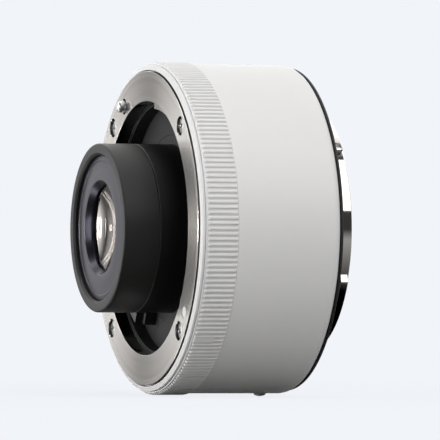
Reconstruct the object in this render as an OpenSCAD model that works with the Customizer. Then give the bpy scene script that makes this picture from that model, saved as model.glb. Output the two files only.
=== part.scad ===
// Camera teleconverter: a front lens socket, a knurled grip, a white barrel, a lens unit in a
// black nose and a rear bayonet.
// While modelling, z runs forward along the optical axis from the rear mount face, x points to
// the side that is usually seen and y points up. lay_down() then lays the axis along Y, with the
// front towards -Y. A depth is a distance behind the front mount face, in millimetres.
// Radial sizes are stacked from the barrel inwards, so each piece follows the one round it.

/* [Barrel] */
// Outer diameter of the white body shell
body_d = 61.8; // [55:0.1:68]
// Wall of the body shell
shell_wall = 1.4; // [1.2:0.05:1.6]
// Radius of the shell's rear edge
shell_fillet = 1.45; // [0.6:0.05:1.6]
// Wall of the chassis inside the shell
chassis_wall = 1.65; // [1.4:0.05:1.85]
// Thickness of the rear seal
seal_t = 0.45; // [0.3:0.05:0.7]
// Step from the barrel's radius in to the rear seal's edge
seal_inset = 0.5; // [0.3:0.05:0.8]

/* [Mount faces] */
// Distance between the front and the rear mount face
flange_gap = 28.3; // [25:0.1:32]
// Thickness of each mount ring's flange
flange_t = 1.6; // [1.4:0.05:1.8]
// Thickness of the shim under each mount ring
shim_t = 0.2; // [0.1:0.05:0.3]
// Radial gap between the front mount ring and the barrel round it
front_gap = 0.1; // [0.05:0.01:0.2]
// Radial width of the front mount face
front_face_w = 5.6; // [5:0.1:6.2]

/* [Front socket] */
// Radial height of the inner claws
inner_claw_h = 1.45; // [1.2:0.05:1.7]
// Depth of the inner claws behind the front mount face
claw_set_back = 1.3; // [1:0.05:1.6]
// Thickness of the inner claws
inner_claw_t = 1.2; // [1:0.05:1.4]
// Angle at which the first inner claw starts
inner_claw_start = 48; // [44:0.5:52]
// Angle that one inner claw spans
inner_claw_span = 40; // [37:0.5:44]
// Thickness of the leaf spring behind the claws
leaf_t = 0.25; // [0.2:0.05:0.4]
// Angle that one tongue of the leaf spring spans
leaf_span = 34; // [28:0.5:36]
// Depth of the throat floor
throat_depth = 5; // [4.9:0.1:6]
// Step from the throat's radius in to the black wall behind it
liner_step = 0.6; // [0.4:0.05:0.8]
// Thickness of the throat's black wall
liner_t = 1.4; // [1.2:0.05:1.55]

/* [Rear bayonet] */
// Length of the bayonet tube behind the rear mount face
spigot_len = 4.8; // [4.6:0.1:6]
// Wall of the bayonet tube
spigot_wall = 1.6; // [1.4:0.05:1.8]
// Radial gap between the bayonet tube and the inner claws of a like socket
mate_gap = 0.25; // [0.15:0.01:0.35]
// Radial gap between the outer claws and the throat of a like socket
claw_gap = 0.75; // [0.6:0.01:0.9]
// Slot between the rear mount face and the outer claws
outer_claw_gap = 3.1; // [2.8:0.05:3.4]
// Thickness of the outer claws
outer_claw_t = 1.4; // [1:0.05:1.6]
// Angle at which the first outer claw starts
outer_claw_start = 40.3; // [37:0.1:44]
// Angle that one outer claw spans
outer_claw_span = 57.4; // [50:0.1:62]
// Length of the ramp at each outer claw's leading end
claw_ramp = 1.2; // [0.6:0.1:1.6]

/* [Mount screws] */
// Distance from the front mount face's edge to the middle of its screws
front_screw_inset = 2.6; // [2.3:0.05:2.9]
// Distance from the rear mount face's edge to the middle of its screws
rear_screw_inset = 3.2; // [2.8:0.05:3.5]
// Diameter of a mount screw's head
screw_head_d = 3.2; // [2.8:0.1:3.6]
// Height of a mount screw's head
screw_head_t = 0.7; // [0.5:0.05:0.9]
// How far a mount screw's head lies below its mount face
screw_drop = 0.2; // [0.05:0.05:0.3]
// Diameter of a mount screw's thread
screw_d = 1.6; // [1.2:0.1:1.8]

/* [Grip] */
// How far the grip's ribs stand above the barrel
grip_rise = 0.3; // [0.15:0.05:0.6]
// Depth at which the grip starts
grip_start = 1.4; // [1.2:0.05:1.55]
// Length of the grip
grip_len = 6; // [5:0.1:7]
// Number of ribs round the grip
grip_ribs = 198; // [120:1:220]
// Depth of the grooves between the ribs
rib_depth = 0.4; // [0.2:0.05:0.6]
// Radial gap between the front mount ring and the rim
rim_gap = 0.25; // [0.15:0.05:0.35]
// Wall of the rim
rim_wall = 0.95; // [0.8:0.05:1.05]
// How far the rim lies behind the front mount face
rim_drop = 0.3; // [0.2:0.05:0.45]

/* [Nose] */
// Radial gap between the nose and the contact block
nose_gap = 1.1; // [0.8:0.05:1.6]
// How far the nose stands out in front of the front mount face
nose_reach = 9.6; // [8.4:0.1:11]
// Length of the nose's front cap
cap_len = 7; // [5:0.1:8]
// Radius of the cap's front edge
cap_fillet = 0.4; // [0.3:0.05:0.8]
// Bevel inside the cap's mouth
cap_bevel = 0.4; // [0.2:0.05:0.5]
// Wall of the cap
cap_wall = 2.15; // [1.8:0.05:2.4]
// How far the lens retainer lies inside the cap's mouth
retainer_drop = 0.7; // [0.4:0.05:1]
// Step from the nose's radius out to its base flange's
base_step = 1.7; // [1.5:0.1:2.2]

/* [Lens unit] */
// Step from the nose's radius in to the lens tube's
sleeve_step = 2.8; // [2.5:0.05:3.1]
// Wall of the lens tube
tube_wall = 3.5; // [3:0.1:4.2]
// Radial width of the first element's edge that the retainer covers
clear_inset = 1.55; // [1.2:0.05:2]
// How much wider the retainer opens at its front, in radius
opening_step = 0.95; // [0.6:0.05:1.2]
// Gap between the lens tube and the rear baffle
tube_gap = 0.7; // [0.5:0.05:1.2]

/* [Lock] */
// Angle of the lock pin
lock_angle = 119; // [107:0.5:124]
// Diameter of the lock pin's shaft
lock_d = 1.7; // [1.4:0.05:1.9]
// Diameter of the lock pin's head
lock_head_d = 2.2; // [2:0.05:2.5]
// How far the lock pin stands out of the front mount face
lock_reach = 1.4; // [1:0.05:1.5]
// Travel of the lock pin and its slider
lock_travel = 1.7; // [1.5:0.05:2]
// Length of the release slider
slider_len = 7; // [6.2:0.1:8]
// Angle that the release slider spans
slider_span = 14; // [12:0.5:18]
// Number of turns in the lock spring
spring_turns = 7; // [4:1:9]
// Diameter of the lock spring's wire
spring_wire = 0.3; // [0.2:0.05:0.35]

/* [Contacts] */
// Number of contacts
contact_count = 10; // [6:1:11]
// Angle of the middle of the contact blocks
contact_angle = 204; // [185:1:214]
// Angle between two contacts
contact_step = 7.2; // [6.4:0.1:8]
// Radial width of the contact blocks
block_w = 3.4; // [3:0.05:3.8]
// Radial gap between the contact blocks and the bayonet tube's bore
block_gap = 0.2; // [0.1:0.01:0.4]
// Depth of the contact block's face behind the front mount face
contact_depth = 1.4; // [1.2:0.05:2]
// Diameter of a contact pin
pin_d = 0.7; // [0.5:0.05:0.8]
// Travel of a contact pin
pin_travel = 0.8; // [0.5:0.05:1]

/* [Rear window] */
// Distance from the bayonet tube's bore in to the window's sides
window_side = 7; // [6.3:0.1:8]
// Distance from the bayonet tube's bore in to the window's top and bottom
window_top = 10.5; // [9.4:0.1:12]

/* [Index marks] */
// Angle of the white index dot on the front mount ring
dot_angle = -35.2; // [-38:0.1:-30]
// Diameter of the index dot
dot_d = 2.2; // [1.5:0.1:2.5]
// Distance from the shell's rear edge to the middle of the index bead
bead_inset = 4.77; // [4:0.01:6]
// Diameter of the index bead
bead_d = 2.5; // [2:0.1:3]
// Height of the index bead above the barrel
bead_rise = 0.55; // [0.3:0.05:0.8]

/* [Hidden] */
$fn = 160;
// Clearances: between fixed pieces, round a running pin and between loose neighbours
fit = 0.05;
run = 0.06;
slack = 0.15;
// How far a cut runs past a face, and how far two shapes of one piece run into each other
past = 1;
fuse = 0.2;
// Small edge breaks on turned pieces and the larger chamfer on the mount rings
edge_break = 0.15;
chamfer = 0.25;

// Barrel
shell_r = body_d / 2;
shell_in = shell_r - shell_wall;
chassis_r = shell_in - fit;
chassis_in = chassis_r - chassis_wall;
shell_front = grip_start + grip_len;
seal_seat = 0.03;
shell_rear = flange_gap - fit - seal_t - seal_seat;
seal_d = body_d - 2 * seal_inset;
// The rear pocket of the shell takes the rear mount ring's flange
pocket_step = 0.35;
pocket_wall = shell_wall + pocket_step;
pocket_r = shell_r - pocket_wall;
rear_r = pocket_r - slack;
lip_w = 1;
lip_in = pocket_r - lip_w;
lip_t = 0.8;

// Front socket, and the rear bayonet that fits a like socket
front_flange_d = 2 * (shell_in - front_gap);
front_r = front_flange_d / 2;
throat_d = front_flange_d - 2 * front_face_w;
throat_r = throat_d / 2;
inner_claw_d = throat_d - 2 * inner_claw_h;
inner_claw_r = inner_claw_d / 2;
claw_back = claw_set_back + inner_claw_t;
collar_wall = 1;
collar_r = throat_r + collar_wall;
leaf_back = claw_back + leaf_t;
liner_d = throat_d - 2 * liner_step;
liner_r = liner_d / 2;
liner_out = liner_r + liner_t;
outer_tube_d = inner_claw_d - 2 * mate_gap;
outer_tube_r = outer_tube_d / 2;
outer_claw_d = throat_d - 2 * claw_gap;
outer_claw_r = outer_claw_d / 2;
spigot_bore_d = outer_tube_d - 2 * spigot_wall;
spigot_r = spigot_bore_d / 2;
front_screw_circle = front_flange_d - 2 * front_screw_inset;
rear_screw_circle = 2 * (rear_r - rear_screw_inset);
// A turned groove at the foot of the bayonet tube
relief_gap = 0.15;
relief_r = outer_claw_r + relief_gap;
relief_t = 0.3;
dot_t = 0.2;
stop_r = 0.55;
stop_turn = 2.5;
stop_angle = outer_claw_start - stop_turn;
stop_shift = 0.4;
stop_depth = flange_gap + outer_claw_gap / 2 + stop_shift;
notch_gap = 0.5;
notch_t = 1.2;

// Grip and rim
grip_d = body_d + 2 * grip_rise;
grip_r = grip_d / 2;
rim_in = front_r + rim_gap;
rim_out = rim_in + rim_wall;
rim_bevel = 0.3;
rim_groove = 0.25;
rim_groove_w = 0.15;
// Shares of one rib step that a rib takes at its top and at its foot
rib_top = 0.45;
rib_foot = 0.65;
// A few grooves near the index dot are filled over a share of the grip's length
pad_turn = 6;
pad_half = 1.6;
pad_share = 0.66;

// Chassis
chassis_front = flange_t + shim_t;
chassis_rear = flange_gap - flange_t - shim_t;
web_t = 2.6;
web_back = chassis_front + web_t;
rear_web = 2.5;
web_front = chassis_rear - rear_web;
lap = 1.5;
lap_r = (chassis_r + chassis_in) / 2;
baffle_lap = 1.9;
baffle_r = spigot_r + baffle_lap;
baffle_t = 1.1;
baffle_back = flange_gap - flange_t;
baffle_seat = 0.9;
post_r = 1.4;
small_thread_r = 0.6;
small_head_r = 1.15;
small_head_t = 0.6;
small_thread_len = 2.5;
floor_post_angle = 60;
floor_thread_front = throat_depth - small_thread_len;
tube_screw_angle = 30;
board_post_angle = 40;
thread_tip = 0.5;
thread_room = 0.2;

// Lock. Its pin runs in the middle of the channel between the throat's wall and the chassis.
lock_r = (liner_out + chassis_in) / 2;
lock_hole_gap = 0.35;
lock_hole_r = lock_head_d / 2 + lock_hole_gap;
lock_head_back = 0.25;
boss_wall = 0.6;
boss_r = lock_d / 2 + boss_wall;
boss_t = 1.6;
boss_back = web_back + boss_t;
slider_turn = 6.5;
slider_angle = lock_angle + slider_turn;
slider_front_gap = 1;
slider_front = shell_front + slider_front_gap;
slider_r = shell_r + slack;
slider_t = 0.6;
ridge_w = 0.6;
ridge_rise = 0.5;
ridges = 5;
ridge_turn = 1;
stem_gap = 1;
stem_front = slider_front + stem_gap;
stem_len = 1.6;
stem_half = 1.9;
slot_half = 2.6;
slot_front = stem_front - 2 * slack;
slot_back = stem_front + stem_len + lock_travel + 2 * slack;
arm_half = 2.1;
arm_inset = 0.7;
joint_margin = 0.5;
joint_depth = slot_back + joint_margin + lap;
tail_len = 0.6;
pin_tail = joint_depth + tail_len;
lug_t = 1.2;
lug_half = 7;

// Contacts
block_out = spigot_r - block_gap;
block_in = block_out - block_w;
contact_r = (block_in + block_out) / 2;
block_end = 5;
block_half = contact_step * (contact_count - 1) / 2 + block_end;
step_span = 4;
step_drop = 1.4;
step_in = 0.6;
step_out = 0.3;
pad_t = 0.1;
pad_w = 1.5;
pad_len = 1.8;
rear_block_back = flange_gap + contact_depth - pad_t;
collar_t = 0.4;
pin_collar = 0.2;
pin_collar_r = pin_d / 2 + pin_collar;
pin_guide = 0.8;
pin_step = contact_depth + pin_guide;

// Nose and lens tube
nose_d = 2 * (block_in - nose_gap);
nose_r = nose_d / 2;
mouth_d = nose_d - 2 * cap_wall;
mouth_r = mouth_d / 2;
tube_d = nose_d - 2 * sleeve_step;
tube_r = tube_d / 2;
cap_back = cap_len - nose_reach;
neck_len = 2.4;
base_d = nose_d + 2 * base_step;
base_r = base_d / 2;
base_t = 1;
floor_t = 1.6;
floor_back = throat_depth + floor_t;
floor_notch = 7;
tube_flange_t = 1.4;
tube_flange_w = 4.3;
tube_flange_r = tube_r + tube_flange_w;
tube_screw_w = 3;
tube_screw_r = tube_r + tube_screw_w;
tube_rear = baffle_back - baffle_t - tube_gap;
retainer_front = retainer_drop - nose_reach;
retainer_t = 1.55;
retainer_lip = 0.35;
retainer_bevel = 0.1;
retainer_wall = 0.6;
tube_front = retainer_front + retainer_t;

// Electronics
board_gap = 2.5;
board_front = joint_depth + board_gap;
board_t = 1;
board_in_gap = 1;
board_in = tube_r + board_in_gap;
board_w = 4;
board_out = spigot_r + board_w;
post_inset = 1.6;
post_circle_r = board_out - post_inset;
chip_t = 0.9;
// Angle and side of each chip
chips = [[0, 5], [80, 3], [310, 4]];
flex_t = 0.15;
flex_offset = 0.7;
flex_r = contact_r + flex_offset;
flex_half = 5;

// Rear window and index bead
window_w = 2 * (spigot_r - window_side);
window_h = 2 * (spigot_r - window_top);
bead_depth = shell_rear - bead_inset;

// Each glass element: depth of its front edge, thickness of its edge, front and back curve. A
// curve is the face's radius counted in glass radii: above 0 it bulges, below 0 it is hollow.
glass_d = tube_d - 2 * tube_wall;
glass_r = glass_d / 2;
clear_d = glass_d - 2 * clear_inset;
clear_r = clear_d / 2;
opening_d = clear_d + 2 * opening_step;
opening_r = opening_d / 2;
glue = 0.02;
lens_seat = 1.04;
spacer_w = 0.8;
spacer_1_len = 1.2;
spacer_2_len = 2.2;
spacer_4_len = 1.85;
rear_retainer_len = 2.1;
function edge_back(form) = form[0] + form[1];
function element_behind(form, gap, shape) = concat(edge_back(form) + gap, shape);
function element_before(form, gap, shape) = concat(form[0] - gap - shape[0], shape);
lens_1_form = [retainer_front + lens_seat, 1.6, -2.5, 1.6];
lens_2_form = element_behind(lens_1_form, spacer_1_len, [5.6, -1.75, -3.8]);
lens_3_form = element_behind(lens_2_form, glue, [2.2, 3.8, 9.5]);
lens_4_form = element_behind(lens_3_form, spacer_2_len, [1.6, 4.7, 4.7]);
lens_5_form = element_behind(lens_4_form, glue, [2.7, -4.7, -9.5]);
lens_8_form = element_before([tube_rear], rear_retainer_len, [1.1, 9.5, 12]);
lens_7_form = element_before(lens_8_form, spacer_4_len, [1.9, 4.7, 9.5]);
lens_6_form = element_before(lens_7_form, glue, [3.2, -4.7, -4.7]);

// Shared shapes

module lay_down() { rotate([90, 0, 0]) children(); }

// Lifts a shape that starts at its own z = 0 so that it starts at a depth
module at_depth(depth) { translate([0, 0, flange_gap - depth]) children(); }

module polar(angle, radius) { rotate([0, 0, angle]) translate([radius, 0, 0]) children(); }

// Revolves an outline of [radius, depth] points
module turned(outline) {
    rotate_extrude() polygon([for (p = outline) [p[0], flange_gap - p[1]]]);
}

module ring(r_in, r_out, front, back) {
    turned([[r_in, front], [r_out, front], [r_out, back], [r_in, back]]);
}

module rod(radius, front, back) {
    at_depth(back) cylinder(r = radius, h = back - front);
}

module sector(r_in, r_out, front, back, from, to) {
    at_depth(back) rotate([0, 0, from]) rotate_extrude(angle = to - from)
        translate([r_in, 0]) square([r_out - r_in, back - front]);
}

// Points of a quarter or other arc, as [radius, depth]
function arc(centre, radius, from, to, steps = 10) =
    [for (i = [0:steps]) let (a = from + (to - from) * i / steps)
        [centre[0] + radius * cos(a), centre[1] + radius * sin(a)]];

module mount_screw_places(circle_d) {
    for (i = [0:3]) polar(45 + 90 * i, circle_d / 2) children();
}

module three_places(first, radius) {
    for (i = [0:2]) polar(first + 120 * i, radius) children();
}

// A pan-head screw with a cross recess. Its head starts at the depth front and faces forward.
module screw(front, head_r, head_t, thread_r, back) {
    cross_w = head_r * 0.32;
    cross_len = head_r * 1.3;
    difference() {
        rod(head_r, front, front + head_t);
        for (a = [0, 90]) at_depth(front + head_t / 2) rotate([0, 0, a])
            translate([-cross_len / 2, -cross_w / 2, 0]) cube([cross_len, cross_w, head_t]);
    }
    rod(thread_r, front + head_t, back);
}

// The same screw facing the rear
module rear_screw(back, head_r, head_t, thread_r, front) {
    translate([0, 0, 2 * (flange_gap - back)]) mirror([0, 0, 1])
        screw(back, head_r, head_t, thread_r, 2 * back - front);
}

module claws(r_in, r_out, front, back, start, span) {
    for (i = [0:2]) sector(r_in, r_out, front, back, start + 120 * i, start + 120 * i + span);
}

// Casing

module body_shell() color("whitesmoke") lay_down() {
    edge = min(shell_fillet, pocket_wall - fuse);
    difference() {
        turned(concat(
            [[shell_in, shell_front], [shell_r - edge_break, shell_front],
             [shell_r, shell_front + edge_break]],
            arc([shell_r - edge, shell_rear - edge], edge, 0, 90),
            [[pocket_r, shell_rear], [pocket_r, chassis_rear], [lip_in, chassis_rear],
             [lip_in, chassis_rear - lip_t], [shell_in, chassis_rear - lip_t]]
        ));
        slider_slot();
        polar(-90, shell_r - bead_rise) at_depth(bead_depth) rotate([0, 90, 0])
            cylinder(d = bead_d + 2 * fit, h = 2 * bead_rise);
    }
}

// The slot that the slider's stem runs in
module slider_slot() {
    sector(chassis_in - past, shell_r + past, slot_front, slot_back,
        slider_angle - slot_half, slider_angle + slot_half);
}

rib_corners = [[-rib_foot / 2, 0], [-rib_top / 2, 1], [rib_top / 2, 1], [rib_foot / 2, 0]];
function rib_outline() = [for (i = [0:grip_ribs - 1], corner = rib_corners)
    let (a = 360 * (i + corner[0]) / grip_ribs, r = grip_r - rib_depth * (1 - corner[1]))
        [r * cos(a), r * sin(a)]];

module grip_ring() color("whitesmoke") lay_down() {
    pad_angle = dot_angle - pad_turn;
    at_depth(shell_front) linear_extrude(grip_len) difference() {
        polygon(rib_outline());
        circle(r = shell_in);
    }
    sector(grip_r - 2 * rib_depth, grip_r - fit / 2, grip_start + fit,
        grip_start + grip_len * pad_share, pad_angle - pad_half, pad_angle + pad_half);
}

module front_rim() color("whitesmoke") lay_down() {
    neck = rim_out - rim_groove;
    foot = rim_out + rim_groove;
    groove_back = grip_start - rim_groove;
    groove_front = groove_back - rim_groove_w;
    turned([
        [rim_in, grip_start], [rim_in, rim_drop], [rim_in + edge_break, rim_drop],
        [rim_out, rim_drop + rim_bevel], [rim_out, groove_front], [neck, groove_front],
        [neck, groove_back], [foot, groove_back], [foot, grip_start]
    ]);
}

module front_chassis() color("dimgray") lay_down() {
    difference() {
        union() {
            turned([
                [chassis_r, chassis_front], [chassis_r, joint_depth - lap], [lap_r, joint_depth - lap],
                [lap_r, joint_depth], [chassis_in, joint_depth], [chassis_in, web_back],
                [liner_out, web_back], [liner_out, throat_depth], [liner_r, throat_depth],
                [liner_r, leaf_back], [collar_r + fit, leaf_back], [collar_r + fit, chassis_front]
            ]);
            three_places(floor_post_angle, lock_r) rod(post_r, web_back - fuse, throat_depth);
        }
        mount_screw_places(front_screw_circle)
            rod(screw_d / 2 + fit, chassis_front - past, web_back - thread_room);
        polar(lock_angle, lock_r) {
            rod(lock_d / 2 + run, chassis_front - past, web_back + past);
            rod(lock_hole_r, chassis_front - past, leaf_back);
        }
        slider_slot();
        three_places(floor_post_angle, lock_r)
            rod(small_thread_r + fit, floor_thread_front - thread_room, throat_depth + past);
    }
}

module rear_chassis() color("dimgray") lay_down() {
    seat_front = chassis_rear + shim_t - baffle_t;
    lip_front = chassis_rear - lip_t - fit;
    difference() {
        union() {
            turned([
                [chassis_r, joint_depth - lap], [chassis_r, lip_front], [lip_in - fit, lip_front],
                [lip_in - fit, chassis_rear], [baffle_r + fit, chassis_rear],
                [baffle_r + fit, seat_front], [baffle_r - baffle_seat, seat_front],
                [baffle_r - baffle_seat, web_front], [chassis_in, web_front],
                [chassis_in, joint_depth + fit], [lap_r + fit, joint_depth + fit],
                [lap_r + fit, joint_depth - lap]
            ]);
            sector(liner_out + fuse, chassis_in + fuse, joint_depth + fit, joint_depth + lug_t,
                lock_angle - lug_half, lock_angle + lug_half);
            three_places(board_post_angle, post_circle_r)
                rod(post_r, board_front + board_t, web_front + fuse);
        }
        polar(lock_angle, lock_r)
            rod(lock_d / 2 + run, joint_depth - past, joint_depth + lug_t + past);
        mount_screw_places(rear_screw_circle)
            rod(screw_d / 2 + fit, web_front + thread_room, chassis_rear + past);
        three_places(board_post_angle, post_circle_r) rod(small_thread_r + fit,
            board_front, board_front + board_t + small_thread_len + thread_tip);
    }
}

// Front socket

module front_mount_ring() color("silver") lay_down() {
    difference() {
        union() {
            turned([
                [throat_r + chamfer / 2, 0], [front_r - chamfer, 0], [front_r, chamfer],
                [front_r, flange_t], [collar_r, flange_t], [collar_r, claw_back],
                [throat_r, claw_back], [throat_r, chamfer / 2]
            ]);
            claws(inner_claw_r, throat_r + fuse, claw_set_back, claw_back,
                inner_claw_start, inner_claw_span);
        }
        mount_screw_places(front_screw_circle) {
            rod(screw_d / 2 + 2 * fit, -past, flange_t + past);
            rod(screw_head_d / 2 + slack, -past, screw_drop + screw_head_t);
        }
        polar(lock_angle, lock_r) rod(lock_hole_r, -past, claw_back + past);
        polar(dot_angle, front_screw_circle / 2) rod(dot_d / 2, -past, dot_t);
    }
}

module front_mount_screws() color("lightgray") lay_down()
    mount_screw_places(front_screw_circle)
        screw(screw_drop, screw_head_d / 2, screw_head_t, screw_d / 2, web_back - thread_tip);

module front_shim() color("goldenrod") lay_down() difference() {
    ring(collar_r + slack, front_r - chamfer - slack, flange_t, chassis_front);
    mount_screw_places(front_screw_circle) rod(screw_d / 2 + slack, 0, web_back);
    polar(lock_angle, lock_r) rod(lock_hole_r, 0, web_back);
}

module leaf_spring() color("lightsteelblue") lay_down() {
    ring(throat_r + fuse / 2, collar_r, claw_back, leaf_back);
    claws(inner_claw_r + fuse, throat_r + fuse, claw_back, leaf_back,
        inner_claw_start + (inner_claw_span - leaf_span) / 2, leaf_span);
}

module front_index_dot() color("white") lay_down()
    polar(dot_angle, front_screw_circle / 2) rod(dot_d / 2, fit, dot_t);

module throat_floor() color("darkslategray") lay_down() difference() {
    union() {
        ring(tube_r + slack, liner_out, throat_depth, floor_back);
        ring(liner_out - fuse, chassis_in - slack, throat_depth, floor_back);
    }
    rod(base_r + fit, throat_depth - past, throat_depth + base_t);
    sector(liner_out, chassis_r, throat_depth - past, floor_back + past,
        lock_angle - floor_notch, slider_angle + floor_notch);
    flex_slot(throat_depth - past, floor_back + past);
    three_places(floor_post_angle, lock_r)
        rod(small_thread_r + 2 * fit, throat_depth - past, floor_back + past);
    three_places(tube_screw_angle, tube_screw_r)
        rod(small_thread_r + 2 * fit, throat_depth, floor_back + past);
}

module floor_screws() color("gray") lay_down() three_places(floor_post_angle, lock_r)
    rear_screw(floor_back + small_head_t, small_head_r, small_head_t, small_thread_r,
        floor_thread_front);

// Nose and lens unit

module nose_sleeve() color("#1c1c1e") lay_down() {
    bore = tube_r + slack;
    difference() {
        turned([
            [bore, cap_back - neck_len], [mouth_r - fit, cap_back - neck_len],
            [mouth_r - fit, cap_back + fit], [nose_r, cap_back + fit], [nose_r, throat_depth],
            [base_r, throat_depth], [base_r, throat_depth + base_t], [bore, throat_depth + base_t]
        ]);
        three_places(tube_screw_angle, tube_screw_r)
            rod(small_thread_r + fit, throat_depth + thread_room, throat_depth + base_t + past);
    }
}

module nose_cap() color("#3a3a3b") lay_down()
    turned(concat(
        [[mouth_r, cap_back], [mouth_r, cap_bevel - nose_reach],
         [mouth_r + cap_bevel, -nose_reach]],
        arc([nose_r - cap_fillet, cap_fillet - nose_reach], cap_fillet, -90, 0),
        [[nose_r, cap_back - edge_break], [nose_r - edge_break, cap_back]]
    ));

module front_retainer() color("#4a4750") lay_down() {
    rim_r = mouth_r - fit;
    // The back follows the hollow face of the first element
    lens_edge = front_at(lens_1_form, clear_r) - fit;
    turned([
        [rim_r, retainer_front + edge_break], [opening_r, retainer_front - retainer_bevel],
        [clear_r, lens_edge - retainer_wall], [clear_r, lens_edge],
        [glass_r + fit, lens_1_form[0] - fit], [glass_r + fit, tube_front], [rim_r, tube_front]
    ]);
}

// Height of a face's middle above the circle of radius r on it
function sag(curve, r) = let (radius = abs(curve) * glass_r)
    sign(curve) * (radius - sqrt(radius * radius - r * r));
function front_vertex(form) = form[0] - sag(form[2], glass_r);
function back_vertex(form) = edge_back(form) + sag(form[3], glass_r);
// Depth of a face at a distance from the axis
function front_at(form, r) = front_vertex(form) + sag(form[2], r);
function back_at(form, r) = back_vertex(form) - sag(form[3], r);

module ball(radius, depth) { at_depth(depth) sphere(r = radius, $fn = 240); }

module glass(form) {
    front = front_vertex(form);
    back = back_vertex(form);
    front_ball = form[2] * glass_r;
    back_ball = form[3] * glass_r;
    color("lightcyan", 0.5) lay_down() difference() {
        intersection() {
            rod(glass_r, min(front, form[0]), max(back, edge_back(form)));
            if (front_ball > 0) ball(front_ball, front + front_ball);
            if (back_ball > 0) ball(back_ball, back - back_ball);
        }
        if (front_ball < 0) ball(-front_ball, front + front_ball);
        if (back_ball < 0) ball(-back_ball, back - back_ball);
    }
}

// A ring between two elements that clears their faces
module spacer(front_form, back_form) color("#222222") lay_down() {
    bore = glass_r - spacer_w;
    ring(bore, glass_r, max(edge_back(front_form), back_at(front_form, bore)) + fit,
        min(back_form[0], front_at(back_form, bore)) - fit);
}

module lens_tube() color("#2a2a2c") lay_down() difference() {
    union() {
        ring(glass_r + fit, tube_r, tube_front, tube_rear);
        ring(tube_r - fuse, tube_flange_r, floor_back, floor_back + tube_flange_t);
    }
    three_places(tube_screw_angle, tube_screw_r)
        rod(small_thread_r + 2 * fit, floor_back - past, floor_back + tube_flange_t + past);
}

module tube_screws() color("gray") lay_down() three_places(tube_screw_angle, tube_screw_r)
    rear_screw(floor_back + tube_flange_t + small_head_t, small_head_r, small_head_t,
        small_thread_r, throat_depth + 2 * thread_room);

module lens_1() glass(lens_1_form);
module lens_2() glass(lens_2_form);
module lens_3() glass(lens_3_form);
module lens_4() glass(lens_4_form);
module lens_5() glass(lens_5_form);
module lens_6() glass(lens_6_form);
module lens_7() glass(lens_7_form);
module lens_8() glass(lens_8_form);
module spacer_1() spacer(lens_1_form, lens_2_form);
module spacer_2() spacer(lens_3_form, lens_4_form);
module spacer_3() spacer(lens_5_form, lens_6_form);
module spacer_4() spacer(lens_7_form, lens_8_form);

module rear_retainer() color("#222222") lay_down() {
    rim = glass_r - retainer_lip;
    bore = glass_r - clear_inset;
    front = back_at(lens_8_form, bore) + fit;
    turned([[glass_r, front], [glass_r, tube_rear], [rim, tube_rear], [bore, front]]);
}

// Lock

module lock_pin() color("silver") lay_down() polar(lock_angle, lock_r) {
    tip_r = lock_head_d / 2;
    shoulder = tip_r * 0.6 - lock_reach;
    rod(lock_d / 2, shoulder, pin_tail);
    rod(tip_r, shoulder, lock_head_back);
    intersection() {
        at_depth(tip_r - lock_reach) sphere(r = tip_r);
        rod(tip_r, -lock_reach - past, shoulder + fuse);
    }
}

module lock_carriage() color("#8a8a8a") lay_down() {
    arm_out = chassis_in - slack;
    difference() {
        union() {
            polar(lock_angle, lock_r) rod(boss_r, web_back + fit, boss_back);
            sector(lock_r - arm_inset - fuse, arm_out - fuse, web_back + 2 * fit, boss_back - fit,
                lock_angle - slider_turn / 6, slider_angle);
            sector(lock_r - arm_inset, arm_out, web_back + fit, stem_front + stem_len,
                slider_angle - arm_half, slider_angle + arm_half);
        }
        polar(lock_angle, lock_r) rod(lock_d / 2 + fit / 5, 0, boss_back + past);
    }
}

module release_slider() color("#2b2b2b") lay_down() {
    ridge_step = (slider_len - 3 * ridge_w) / (ridges - 1);
    from = slider_angle - slider_span / 2;
    to = slider_angle + slider_span / 2;
    sector(slider_r, slider_r + slider_t, slider_front, slider_front + slider_len, from, to);
    for (i = [0:ridges - 1]) let (front = slider_front + ridge_w + ridge_step * i)
        sector(slider_r + slider_t - fuse, slider_r + slider_t + ridge_rise, front, front + ridge_w,
            from + ridge_turn, to - ridge_turn);
    sector(chassis_in - slack + fit / 2, slider_r + slider_t / 2, stem_front, stem_front + stem_len,
        slider_angle - stem_half, slider_angle + stem_half);
}

// One unbroken wire, with rings of spring_sides points along a helix
spring_sides = 6;
spring_rings = 8;
spring_front = boss_back + fit;
spring_back = joint_depth - fit;
spring_r = lock_d / 2 + slack + spring_wire / 2;
spring_rise = spring_back - spring_front - spring_wire;
ring_count = spring_turns * spring_rings;
function coil_centre(i) = let (a = 360 * i / spring_rings)
    [spring_r * cos(a), spring_r * sin(a), spring_wire / 2 + spring_rise * i / ring_count];
function coil_ring(i) = let (a = 360 * i / spring_rings, c = coil_centre(i))
    [for (k = [0:spring_sides - 1]) let (b = 360 * k / spring_sides)
        c + spring_wire / 2 * [cos(b) * cos(a), cos(b) * sin(a), sin(b)]];
function ring_point(i, k) = i * spring_sides + k % spring_sides;
coil_points = [for (i = [0:ring_count], p = coil_ring(i)) p];
coil_sides = [for (i = [0:ring_count - 1], k = [0:spring_sides - 1])
    each [[ring_point(i, k), ring_point(i, k + 1), ring_point(i + 1, k + 1)],
          [ring_point(i, k), ring_point(i + 1, k + 1), ring_point(i + 1, k)]]];
coil_ends = [for (k = [1:spring_sides - 2])
    each [[ring_point(0, 0), ring_point(0, k + 1), ring_point(0, k)],
          [ring_point(ring_count, 0), ring_point(ring_count, k), ring_point(ring_count, k + 1)]]];
coil_gap = min([for (i = [0:ring_count - spring_rings])
    norm(coil_centre(i + spring_rings) - coil_centre(i)) - spring_wire]);
echo(least_gap_of_lock_spring = coil_gap);

module lock_spring() color("silver") lay_down() polar(lock_angle, lock_r)
    at_depth(spring_back) polyhedron(coil_points, concat(coil_sides, coil_ends));

// Contacts and electronics

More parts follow.
